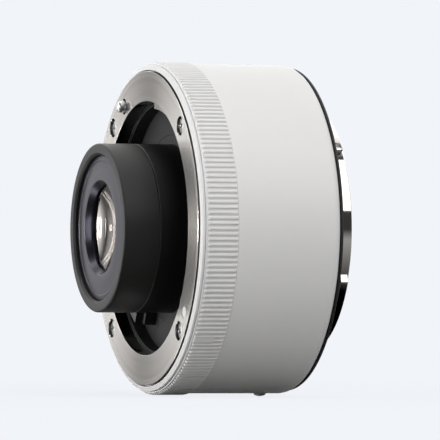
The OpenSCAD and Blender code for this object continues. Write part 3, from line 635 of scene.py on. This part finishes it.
def close_band(bm, inner_r):
    """Turns the outer skin into a ring with a bore."""
    rims = []
    for depth in (grip_front, grip_back):
        edge_loop = [e for e in bm.edges if e.is_boundary
                     and all(abs(v.co.y - at(depth)) < 1e-5 for v in e.verts)]
        grown = bmesh.ops.extrude_edge_only(bm, edges=edge_loop)["geom"]
        verts = {g for g in grown if isinstance(g, bmesh.types.BMVert)}
        size = inner_r / foot_r
        bmesh.ops.scale(bm, vec=(size, 1, size), verts=list(verts))
        rims += [g for g in grown if isinstance(g, bmesh.types.BMEdge)
                 and all(v in verts for v in g.verts)]
    bmesh.ops.bridge_loops(bm, edges=rims)
    settle(bm)


knurl = knurled_band()
raise_ribs(knurl)
close_band(knurl, shell_in)
index_pad = sector(grip_r - pad_sink, grip_r - pad_drop, grip_front + pad_lead, pad_back,
                   pad_angle - pad_half, 2 * pad_half, 6, soft=0.06, round_out=0.12)
place_piece("knurled_grip", carve(knurl, index_pad, "UNION"), white_coat, "converter",
            "white_coat", "grip_ring")

# %% [markdown]
# ## The front rim
# Between the grip and the metal face lies a narrow white rim with a fine groove. Light catches its
# two rounded bands, so they are modelled and not painted.

# %% front rim
rim_in, rim_out = 29.65, 30.6
rim_front, rim_back = front_of("front_rim"), back_of("front_rim")
rim_flat, rim_slope, groove_t = 0.15, 0.3, 0.25
groove_front, groove_back = rim_back - 0.4, rim_back - 0.25
place_piece("rim", turned([
    (rim_in, rim_back), (rim_in, rim_front, 0.05), (rim_in + rim_flat, rim_front, 0.06),
    (rim_out, rim_front + rim_slope, 0.12), (rim_out, groove_front, 0.05),
    (rim_out - groove_t, groove_front), (rim_out - groove_t, groove_back),
    (rim_out + groove_t, groove_back, 0.06), (rim_out + groove_t, rim_back)]),
    white_coat, "converter", "white_coat", "front_rim")

# %% [markdown]
# ## The front mount ring
# The socket is one piece of turned steel: a broad flat face, a short collar and three claws that
# hold a lens. Screw seats, the lock pin's hole and the index dot's recess are cut with flared
# tools, so every hole has a broken edge that catches a little light.

# %% front mount ring
throat_r, collar_r, claw_r = 23.8, 24.8, 22.35
flange_t, claw_front, claw_back = 1.6, 1.3, 2.5
claw_start, claw_span, claw_root = 48.0, 40.0, 0.4
screw_r, screw_seat_r, screw_seat_t, screw_drop = 26.8, 1.75, 0.9, 0.2
lock_angle, lock_r, lock_hole_r, lock_hole_t = 119.0, 26.2, 1.45, 3.5
dot_angle, dot_r, dot_seat_t = -35.2, 1.1, 0.15
SCREW_ANGLES = (45, 135, 225, 315)
THIRDS = (0, 120, 240)

front_ring = turned([
    (throat_r, 0, 0.08), (front_r, 0, 0.08), (front_r, flange_t, 0.1), (collar_r, flange_t),
    (collar_r, claw_back, 0.1), (throat_r, claw_back, 0.05)])
inner_claws = [sector(claw_r, throat_r + claw_root, claw_front, claw_back - 0.05,
                      claw_start + turn, claw_span, 40, soft=0.12) for turn in THIRDS]
front_holes = [hole_tool(screw_seat_r, screw_seat_t, polar_matrix(angle, screw_r, -flange_gap))
               for angle in SCREW_ANGLES]
front_holes += [
    hole_tool(lock_hole_r, lock_hole_t, polar_matrix(lock_angle, lock_r, -flange_gap)),
    hole_tool(dot_r, dot_seat_t, polar_matrix(dot_angle, screw_r, -flange_gap), flare=0.03)]
front_ring = carve_all(carve_all(front_ring, inner_claws, "UNION"), front_holes, "DIFFERENCE")
place_piece("front_mount", front_ring, socket_steel, "converter", "mount_steel",
            "front_mount_ring")

# %% [markdown]
# ## Mount screws
# Each ring is held by four small pan-head screws with a cross recess. One screw is turned, its
# cross is cut with two crossed wedges, and copies go to the four places, each turned a little
# differently, as screws come to rest.

# %% mount screws
head_r, head_t, thread_r = 1.6, 0.7, 0.8
HEAD_DOME = [(0, 0.02), (0.8, 0.06, 0.2), (head_r, 0.24, 0.12)]
cross_reach, cross_w, cross_t = head_r * 0.62, head_r * 0.34, 0.42
CROSS_TAPER = (0.55, 1, 0.6)
SCREW_TURNS = (12, 55, 31, 78)
rear_screw_r, front_thread, rear_thread = 25.8, 3.65, 3.55


def cross_tool():
    """Two crossed wedges that get narrower downwards."""
    blades = []
    for turn in (0, 90):
        bm = plate(2 * cross_reach, 2 * cross_t, cross_w)
        bmesh.ops.scale(bm, vec=CROSS_TAPER, verts=[v for v in bm.verts if v.co.y > 0])
        blades.append(moved(bm, Matrix.Rotation(math.radians(turn), 4, "Y")))
    return carve(blades[0], blades[1], "UNION")


def cross_screw(thread_len):
    return carve(peg([*HEAD_DOME, (head_r, head_t, 0.05), (thread_r, head_t),
                      (thread_r, thread_len, 0.15), (0, thread_len)]), cross_tool())


def screw_set(circle_r, depth, thread_len, flip):
    """Four screws on a circle. flip turns their heads to the rear."""
    facing = Matrix.Rotation(math.pi, 4, "X") if flip else Matrix.Identity(4)
    return join(*[moved(cross_screw(thread_len), polar_matrix(angle, circle_r, depth) @ facing
                        @ Matrix.Rotation(math.radians(turn), 4, "Y"))
                  for angle, turn in zip(SCREW_ANGLES, SCREW_TURNS)])


place_piece("front_screws", screw_set(screw_r, screw_drop - flange_gap, front_thread, False),
            screw_steel, "converter", "screw_steel", "front_mount_screws")
place_piece("rear_screws", screw_set(rear_screw_r, -screw_drop, rear_thread, True),
            screw_steel, "converter", "screw_steel", "rear_mount_screws")

# %% [markdown]
# ## Index dot and bead
# A white dot in the front face and a white bead on the barrel are the marks that are lined up when
# the pieces are put together. The dot is a drop of paint, so its top is slightly domed.

# %% index marks
dot_back, bead_dome, bead_len = 0.14, 0.25, 1.1
dot = moved(peg([(0, 0.03), (dot_r - 0.05, 0.05, 0.04), (dot_r - 0.03, dot_back), (0, dot_back)]),
            polar_matrix(dot_angle, screw_r, -flange_gap))
place_piece("index_dot", dot, white_mark, "converter", "white_mark", "front_index_dot")
bead_low, bead_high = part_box("rear_index_bead")
bead_r = (bead_high.x - bead_low.x) / 2 / MM
bead = moved(peg([(0, 0), (bead_r, bead_dome, 0.5), (bead_r, bead_len), (0, bead_len)]),
             Matrix.Translation((0, (bead_low.y + bead_high.y) / 2, bead_low.z))
             @ Matrix.Rotation(math.radians(90), 4, "X"))
place_piece("index_bead", bead, white_mark, "converter", "white_mark", "rear_index_bead")

# %% [markdown]
# ## Leaf spring
# Behind the claws lies a thin spring ring with three tongues that press on the lens's claws.

# %% leaf spring
leaf_front, leaf_back = front_of("leaf_spring"), back_of("leaf_spring")
leaf_in, tongue_in, tongue_root = throat_r + 0.1, claw_r + 0.2, throat_r + 0.3
tongue_span, tongue_inset = 34.0, 0.01
tongue_start = claw_start + (claw_span - tongue_span) / 2
leaf = turned([(leaf_in, leaf_front), (collar_r, leaf_front), (collar_r, leaf_back),
               (leaf_in, leaf_back)])
tongues = [sector(tongue_in, tongue_root, leaf_front + tongue_inset, leaf_back - tongue_inset,
                  tongue_start + turn, tongue_span, 30, soft=0.04) for turn in THIRDS]
place_piece("leaf_ring", carve_all(leaf, tongues, "UNION"), spring_steel, "converter",
            "spring_steel", "leaf_spring")

# %% [markdown]
# ## The nose
# A black sleeve rises from the floor of the socket and carries a dark grey cap. The cap is a
# little rubbery and matt, with a soft front edge. Inside its mouth lies the retainer that holds
# the first glass: a satin ring that steps down towards the lens.

# %% nose
fit = 0.05
cap_front, cap_back = front_of("nose_cap"), back_of("nose_cap")
mouth_r, mouth_slope, tube_r, base_r = 13.65, 0.4, 13.15, 17.5
throat_depth = front_of("throat_floor")
sleeve_front, sleeve_back = front_of("nose_sleeve"), back_of("nose_sleeve")
place_piece("nose_barrel", turned([
    (tube_r, sleeve_front), (mouth_r - fit, sleeve_front), (mouth_r - fit, cap_back + fit),
    (nose_r, cap_back + fit, 0.2), (nose_r, throat_depth, 0.15), (base_r, throat_depth, 0.1),
    (base_r, sleeve_back), (tube_r, sleeve_back)]),
    sleeve_black, "converter", "sleeve_black", "nose_sleeve")
place_piece("nose_front", turned([
    (mouth_r, cap_back), (mouth_r, cap_front + mouth_slope, 0.05),
    (mouth_r + mouth_slope, cap_front, 0.05), (nose_r, cap_front, 0.4), (nose_r, cap_back, 0.14)]),
    cap_grey, "converter", "cap_grey", "nose_cap")
retainer_front, retainer_back = front_of("front_retainer"), back_of("front_retainer")
clear_r, opening_r, glass_r = 7.95, 8.9, 9.5
step_out, step_in, flat_r = 12.6, 12.5, 10.6
lens_edge, tube_front = front_of("lens_1"), front_of("lens_tube")
place_piece("lens_retainer", turned([
    (mouth_r - fit, retainer_front + 0.25, 0.05), (step_out, retainer_front + 0.12, 0.03),
    (step_in, retainer_front + 0.2, 0.03), (flat_r, retainer_front + 0.1, 0.08),
    (opening_r, retainer_front, 0.12), (clear_r + fit, retainer_back - 0.6, 0.08),
    (clear_r, retainer_back), (glass_r + fit, lens_edge - fit), (glass_r + fit, tube_front),
    (mouth_r - fit, tube_front)]),
    retainer_grey, "converter", "retainer_grey", "front_retainer")

# %% [markdown]
# ## The glass stack
# Eight elements sit in the tube, two pairs of them cemented. A real reflection needs smooth faces,
# so each element is drawn from two true arcs and spun. Curves are counted in glass radii: a
# positive one bulges outwards and a negative one is hollow.

# %% glass stack
LENS_CURVES = {
    "lens_1": (-2.5, 1.6), "lens_2": (-1.75, -3.8), "lens_3": (3.8, 9.5), "lens_4": (4.7, 4.7),
    "lens_5": (-4.7, -9.5), "lens_6": (-4.7, -4.7), "lens_7": (4.7, 9.5), "lens_8": (9.5, 12)}
ARC_STEPS, GLASS_STEPS = 24, 96


def rise(curve, radius):
    """Height of a face's middle above the circle of that radius on it."""
    ball = abs(curve) * glass_r
    return math.copysign(ball - math.sqrt(ball * ball - radius * radius), curve)


def lens_outline(node):
    front_curve, back_curve = LENS_CURVES[node]
    low, high = front_of(node), back_of(node)
    front_middle = low if front_curve > 0 else low - rise(front_curve, glass_r)
    back_middle = high if back_curve > 0 else high + rise(back_curve, glass_r)
    radii = [glass_r * i / ARC_STEPS for i in range(ARC_STEPS + 1)]
    front = [(r, front_middle + rise(front_curve, r)) for r in radii]
    back = [(r, back_middle - rise(back_curve, r)) for r in reversed(radii)]
    return front + back


for node in LENS_CURVES:
    place_piece("glass_" + node[-1], turned(lens_outline(node), GLASS_STEPS), coated_glass,
                "converter", "coated_glass", node)

# %% [markdown]
# ## The lock
# A spring-loaded pin stands out of the front face and drops into a lens's notch. It is drawn back
# by a small ribbed slider on the far side of the barrel.

# %% lock pin and slider
pin_front, pin_back = front_of("lock_pin"), back_of("lock_pin")
pin_head_r, pin_head_back, pin_shaft_r = 1.1, 0.25, 0.85
pin = moved(peg([(0, pin_front), (pin_head_r, pin_front, 0.7), (pin_head_r, pin_head_back, 0.08),
                 (pin_shaft_r, pin_head_back), (pin_shaft_r, pin_back, 0.1), (0, pin_back)]),
            polar_matrix(lock_angle, lock_r, -flange_gap))
place_piece("locking_pin", pin, pin_steel, "lock", "mount_steel", "lock_pin")
slider_front, slider_back = front_of("release_slider"), back_of("release_slider")
slider_in, slider_skin, slider_top = shell_r + 0.15, shell_r + 0.75, shell_r + 1.25
slider_span, ridge_w, ridge_count, ridge_root, ridge_inset = 14.0, 0.6, 5, 0.2, 1
slider_start = slot_angle - slider_span / 2
ridge_step = (slider_back - slider_front - 3 * ridge_w) / (ridge_count - 1)
slider = sector(slider_in, slider_skin, slider_front, slider_back, slider_start, slider_span, 20,
                soft=0.08, round_in=0.1, round_out=0.3)
slider_parts = []
for i in range(ridge_count):
    ridge_front = slider_front + ridge_w + ridge_step * i
    slider_parts.append(sector(slider_skin - ridge_root, slider_top, ridge_front,
                               ridge_front + ridge_w, slider_start + ridge_inset,
                               slider_span - 2 * ridge_inset, 16, soft=0.08, round_out=0.15))
stem_r, stem_root, stem_front, stem_back, stem_half = 27.7, 0.3, 9.4, 11.0, 1.9
slider_parts.append(sector(stem_r, slider_in + stem_root, stem_front, stem_back,
                           slot_angle - stem_half, 2 * stem_half, 4))
place_piece("slider", carve_all(slider, slider_parts, "UNION"), slider_black, "lock",
            "slider_black", "release_slider")

# %% [markdown]
# ## Contacts
# Ten gold pins in a black block pass signals from the lens, and ten flat pads at the rear pass
# them on to the camera. The blocks are sectors of a ring with stepped ends.

# %% contacts
contact_angle, contact_step, contact_count, contact_r = 204.0, 7.2, 10, 18.6
block_in, block_out, block_half, BLOCK_STEPS = 16.9, 20.3, 37.4, 40
block_start = contact_angle - block_half
block_front = front_of("front_contact_block")
end_in, end_out, end_front, end_span = block_in + 0.6, block_out - 0.3, block_front + 1.4, 5
end_inset, end_lead, end_lap = 0.01, 4, 1
well_r, well_t = 0.42, 1.2
CONTACT_ANGLES = [contact_angle + contact_step * (i - (contact_count - 1) / 2)
                  for i in range(contact_count)]

front_block = sector(block_in, block_out, block_front, throat_depth, block_start, 2 * block_half,
                     BLOCK_STEPS, soft=0.15)
ends = [sector(end_in, end_out, end_front, throat_depth - end_inset, start, end_span, BLOCK_STEPS,
               soft=0.12)
        for start in (block_start - end_lead, contact_angle + block_half - end_lap)]
wells = [hole_tool(well_r, well_t, polar_matrix(angle, contact_r, block_front - flange_gap))
         for angle in CONTACT_ANGLES]
front_block = carve_all(carve_all(front_block, ends, "UNION"), wells, "DIFFERENCE")
place_piece("front_block", front_block, block_black, "converter", "black_alloy",
            "front_contact_block")
pin_tip, pin_end = front_of("contact_pins"), back_of("contact_pins")
pin_r, pin_foot_r, pin_foot = 0.35, 0.55, pin_end - 0.4
pins = [moved(peg([(0, pin_tip), (pin_r, pin_tip, 0.3), (pin_r, pin_foot), (pin_foot_r, pin_foot),
                   (pin_foot_r, pin_end), (0, pin_end)], 20),
              polar_matrix(angle, contact_r, -flange_gap)) for angle in CONTACT_ANGLES]
place_piece("spring_pins", join(*pins), contact_gold, "contacts", "contact_gold", "contact_pins")

# %% [markdown]
# ## The rear bayonet
# The rear ring mirrors the front one: a broad turned face, a tube and three claws that point
# outwards. A groove runs round the foot of the tube, and each claw has a ramp at the end that
# goes in first.

# %% rear mount ring
spigot_r, bayonet_r, outer_claw_r, relief_r, relief_t = 20.5, 22.1, 23.05, 23.2, 0.3
rear_face = flange_gap
spigot_back, ring_front = back_of("rear_mount_ring"), front_of("rear_mount_ring")
outer_claw_front, outer_claw_back = rear_face + 3.1, rear_face + 4.5
outer_claw_start, outer_claw_span = 40.3, 57.4
ramp_len = 1.2
notch_r, notch_t = 1.6, 1.2


def outer_claw(start):
    bm = sector(bayonet_r - claw_root, outer_claw_r, outer_claw_front, outer_claw_back, start,
                outer_claw_span, 44)
    end = start + outer_claw_span
    slope = math.degrees(math.atan2(ramp_len, outer_claw_r - bayonet_r))
    foot = polar_matrix(end, bayonet_r, 0).translation
    facing = Matrix.Rotation(-math.radians(end + 90 - slope), 3, "Y") @ Vector((1, 0, 0))
    cut = bmesh.ops.bisect_plane(bm, geom=everything(bm), plane_co=foot, plane_no=facing,
                                 clear_outer=True)
    rim = [g for g in cut["geom_cut"] if isinstance(g, bmesh.types.BMEdge)]
    bmesh.ops.contextual_create(bm, geom=rim)
    settle(bm)
    soften(bm, 0.1)
    return bm


rear_ring = turned([
    (spigot_r, ring_front), (rear_r, ring_front), (rear_r, rear_face, 0.25),
    (relief_r, rear_face, 0.08), (relief_r, rear_face - relief_t),
    (bayonet_r, rear_face - relief_t), (bayonet_r, spigot_back, 0.25),
    (spigot_r, spigot_back, 0.15)])
rear_claws = [outer_claw(outer_claw_start + turn) for turn in THIRDS]
rear_flip = Matrix.Rotation(math.pi, 4, "X")
rear_holes = [hole_tool(screw_seat_r, screw_seat_t,
                        polar_matrix(angle, rear_screw_r, 0) @ rear_flip)
              for angle in SCREW_ANGLES]
rear_holes.append(hole_tool(notch_r, notch_t, polar_matrix(lock_angle, lock_r, 0) @ rear_flip))
rear_ring = carve_all(carve_all(rear_ring, rear_claws, "UNION"), rear_holes, "DIFFERENCE")
place_piece("rear_mount", rear_ring, mount_steel, "converter", "mount_steel", "rear_mount_ring")

# %% [markdown]
# ## Small rear pieces
# A rubber seal closes the gap to the camera, a dark pin stops the turn, a black baffle frames the
# light, and a block with ten gold pads meets the camera's contacts.

# %% seal, stop pin, baffle and pads
seal_r, seal_front, seal_back = radius_of("rear_seal"), front_of("rear_seal"), back_of("rear_seal")
place_piece("seal", turned([
    (rear_r + fit, seal_front), (seal_r, seal_front, 0.1), (seal_r, seal_back, 0.22),
    (rear_r + fit, seal_back, 0.08)]), seal_rubber, "converter", "seal_rubber", "rear_seal")
stop_angle, stop_r, stop_depth, stop_foot = 37.8, 0.55, 30.25, spigot_r + 0.2
stop_len = outer_claw_r - stop_foot
stop = moved(peg([(0, 0), (stop_r, 0, 0.12), (stop_r, stop_len, 0.12), (0, stop_len)], 32),
             Matrix.Rotation(-math.radians(stop_angle), 4, "Y")
             @ Matrix.Translation((stop_foot * MM, at(stop_depth), 0))
             @ Matrix.Rotation(-math.radians(90), 4, "Z"))
place_piece("turn_stop", stop, black_alloy, "converter", "black_alloy", "stop_pin")
baffle_r = radius_of("rear_baffle")
baffle_front, baffle_back = front_of("rear_baffle"), back_of("rear_baffle")
window_w, window_t, window_h, window_corner = 27.0, 6, 20.0, 1.2
baffle = turned([(0, baffle_front), (baffle_r, baffle_front), (baffle_r, baffle_back),
                 (0, baffle_back)])
window = moved(rounded_plate(window_w, window_t, window_h, window_corner, 5),
               Matrix.Translation((0, at(baffle_back), 0)))
place_piece("light_baffle", carve(baffle, window), throat_black, "converter", "throat_black",
            "rear_baffle")
rear_block_back = back_of("rear_contact_block")
rear_block = sector(block_in, block_out, baffle_back, rear_block_back, block_start, 2 * block_half,
                    BLOCK_STEPS, soft=0.2)
place_piece("rear_block", rear_block, block_black, "converter", "black_alloy",
            "rear_contact_block")
pad_w, pad_t, pad_h, pad_corner = 1.8, 0.1, 1.5, 0.3
pad_depth = rear_block_back - flange_gap + pad_t / 2
pads = [moved(rounded_plate(pad_w, pad_t, pad_h, pad_corner, 3),
              polar_matrix(angle, contact_r, pad_depth)) for angle in CONTACT_ANGLES]
place_piece("contact_pads", join(*pads), contact_gold, "converter", "contact_gold",
            "rear_contacts")

# %% [markdown]
# ## Inner pieces
# What stays hidden, or shows only in the dark of the throat, keeps its CAD shape and takes the
# finish of its material.

# %% finish the inner pieces
INNER_FINISHES = (
    (throat_black, ("front_chassis", "throat_floor", "lens_tube", "spacer_1", "spacer_2",
                    "spacer_3", "spacer_4", "rear_retainer")),
    (black_alloy, ("rear_chassis",)), (shim_brass, ("front_shim", "rear_shim")),
    (screw_steel, ("floor_screws", "tube_screws", "board_screws")),
    (spring_steel, ("lock_carriage", "lock_spring", "contact_springs")),
    (board_green, ("circuit_board",)), (block_black, ("board_chips",)),
    (flex_film, ("front_flex", "rear_flex")))
finished = []
for material, nodes in INNER_FINISHES:
    for node in nodes:
        cad_nodes[node].data.materials.clear()
        cad_nodes[node].data.materials.append(material)
        finished.append(node)
plain = [n for n, o in cad_nodes.items() if not o.hide_render and n not in finished]
print("inner pieces:", len(finished), "left plain:", plain)

# %% [markdown]
# ## Light and floor
# The photograph has a pale, even background and light from high on the camera's side. A large
# soft box does most of the work and a lamp above lights the top. A thin lamp in front draws the
# retainer's cone, a small one beside it lights the white faces that look forward, and a very
# faint, thin one stands at the front left. A strip, a panel and a far wall on the left show only
# in reflections: they draw the crescent in the front glass and the light and dark of the steel
# rings. To the camera, the floor and the surroundings have the same pale colour, so that no
# horizon stands out. Reflections look through the floor and see a dim room on the right, which
# keeps black pieces black.

# %% light and floor
BACKDROP = (0.880, 0.905, 0.947, 1)
fill_level = 0.18
side_level = 0.18
panel_level = 1.2
far_level = 1.8
room_level = 0.05
floor_level = 0.4
strip_level = 7.0
STRIP_NEAR = (27, 31)
STRIP_FAR = (52, 31)
STRIP_ENDS = (1.0, 0.85)
PANEL_NEAR = (51, 57)
PANEL_FAR = (69, 64)
FAR_TURN = (71, 78)
LEFT_TO_RIGHT = (-0.3, 0.3)
TABLE_RISE = (-0.8, -0.2)
TABLE_EDGE = (-0.15, 0.0)
SHADOW_REACH, PLAIN_SHARE = (0.05, 0.2), (0.92, 1.0)
floor_grey, floor_size = 0.38, 8


def soft_edges(tree, *edges):
    """A mask from soft edges, each given as a value, where it is dark and where it is bright."""
    mask = None
    for value, limits in edges:
        side = ramp(tree, value, limits, WHOLE, interpolation_type="SMOOTHSTEP")
        mask = side if mask is None else calc(tree, "MULTIPLY", mask, side)
    return mask


def mirrored_rays(tree, path):
    """1 for rays that a surface has reflected or that glass has let through."""
    return calc(tree, "MAXIMUM", path["Is Glossy Ray"], path["Is Transmission Ray"])


def mix_shaders(tree, share, first, second):
    return add_node(tree, "ShaderNodeMixShader", {
        0: share, 1: first.outputs[0], 2: second.outputs[0]})


def light_the_world():
    """Rays from the camera, and rays that go through the glass to the rear, see the backdrop.
    Reflections see the panels, and their turn counts in degrees from straight ahead to the
    left."""
    world = bpy.data.worlds.new("studio")
    world.use_nodes = True
    bpy.context.scene.world = world
    tree = world.node_tree
    path = add_node(tree, "ShaderNodeLightPath").outputs
    place = add_node(tree, "ShaderNodeTexCoord").outputs["Generated"]
    x, y, z = add_node(tree, "ShaderNodeSeparateXYZ", {0: place}).outputs
    turn = calc(tree, "DEGREES", calc(tree, "ARCTAN2", calc(tree, "MULTIPLY", x, -1.0),
                                      calc(tree, "MULTIPLY", y, -1.0)))
    panel = calc(tree, "MULTIPLY_ADD", soft_edges(tree, (turn, PANEL_NEAR), (turn, PANEL_FAR)),
                 panel_level, side_level)
    left = calc(tree, "MULTIPLY_ADD", soft_edges(tree, (turn, FAR_TURN)), far_level, panel)
    walls = ramp(tree, x, LEFT_TO_RIGHT, (left, room_level))
    table = ramp(tree, z, TABLE_RISE, (0.0, floor_level))
    around = mix_levels(tree, ramp(tree, z, TABLE_EDGE, (1.0, 0.0)), walls, table)
    strip = soft_edges(tree, (turn, STRIP_NEAR), (turn, STRIP_FAR),
                       (calc(tree, "ABSOLUTE", z), STRIP_ENDS))
    reflected = calc(tree, "MULTIPLY_ADD", strip, strip_level, around)
    level = mix_levels(tree, mirrored_rays(tree, path), fill_level, reflected)
    room = tree.nodes["Background"]
    room.inputs["Color"].default_value = (1, 1, 1, 1)
    tree.links.new(level, room.inputs["Strength"])
    seen = add_node(tree, "ShaderNodeBackground", {"Color": BACKDROP, "Strength": 1.0})
    through = calc(tree, "MULTIPLY", path["Is Transmission Ray"],
                   calc(tree, "GREATER_THAN", y, 0.0))
    direct = calc(tree, "MAXIMUM", path["Is Camera Ray"], through)
    choice = mix_shaders(tree, direct, room, seen)
    tree.links.new(choice.outputs[0], tree.nodes["World Output"].inputs["Surface"])


def soft_lamp(name, place, width, height, power):
    """A lamp that looks at the middle of the barrel's front half. Sizes are in metres."""
    data = bpy.data.lights.new(name, "AREA")
    data.shape, data.size, data.size_y, data.energy = "RECTANGLE", width, height, power
    lamp = bpy.data.objects.new(name, data)
    lamp.location = place
    target = Vector((0, at(10), 0))
    lamp.rotation_euler = (target - Vector(place)).to_track_quat("-Z", "Y").to_euler()
    bpy.context.scene.collection.objects.link(lamp)


def lay_floor():
    material, tree, shader = new_material("floor")
    shader.inputs["Roughness"].default_value = 0.9
    path = add_node(tree, "ShaderNodeLightPath").outputs
    tint = mix_colours(tree, path["Is Camera Ray"], (*grey(floor_grey), 1), BACKDROP)
    tree.links.new(tint, shader.inputs["Base Color"])
    place = add_node(tree, "ShaderNodeTexCoord").outputs["Object"]
    away = add_node(tree, "ShaderNodeVectorMath", {0: place}, operation="LENGTH")
    share = calc(tree, "MULTIPLY", path["Is Camera Ray"],
                 ramp(tree, away.outputs["Value"], SHADOW_REACH, PLAIN_SHARE))
    seen = add_node(tree, "ShaderNodeEmission", {"Color": BACKDROP, "Strength": 1.0})
    laid = mix_shaders(tree, share, shader, seen)
    clear = add_node(tree, "ShaderNodeBsdfTransparent")
    choice = mix_shaders(tree, mirrored_rays(tree, path), laid, clear)
    tree.links.new(choice.outputs[0], tree.nodes["Material Output"].inputs["Surface"])
    bm = bmesh.new()
    bmesh.ops.create_grid(bm, x_segments=1, y_segments=1, size=floor_size)
    bmesh.ops.translate(bm, verts=bm.verts, vec=(0, 0, cad_low.z))
    floor = as_object("floor", bm)
    floor.data.materials.append(material)


light_the_world()
soft_lamp("key", (0.66, 0.21, 0.62), 0.8, 0.85, 5.2)
soft_lamp("top", (0.1, 0.0, 1.0), 0.6, 0.4, 2.8)
soft_lamp("front", (0.5, -0.92, 0.0), 0.1, 0.8, 3)
soft_lamp("face", (-0.2, -0.98, 0.0), 0.08, 0.17, 7)
soft_lamp("slot", (-0.74, -0.67, 0.0), 0.012, 0.14, 0.03)
lay_floor()
bpy.context.scene.view_settings.view_transform = "Standard"
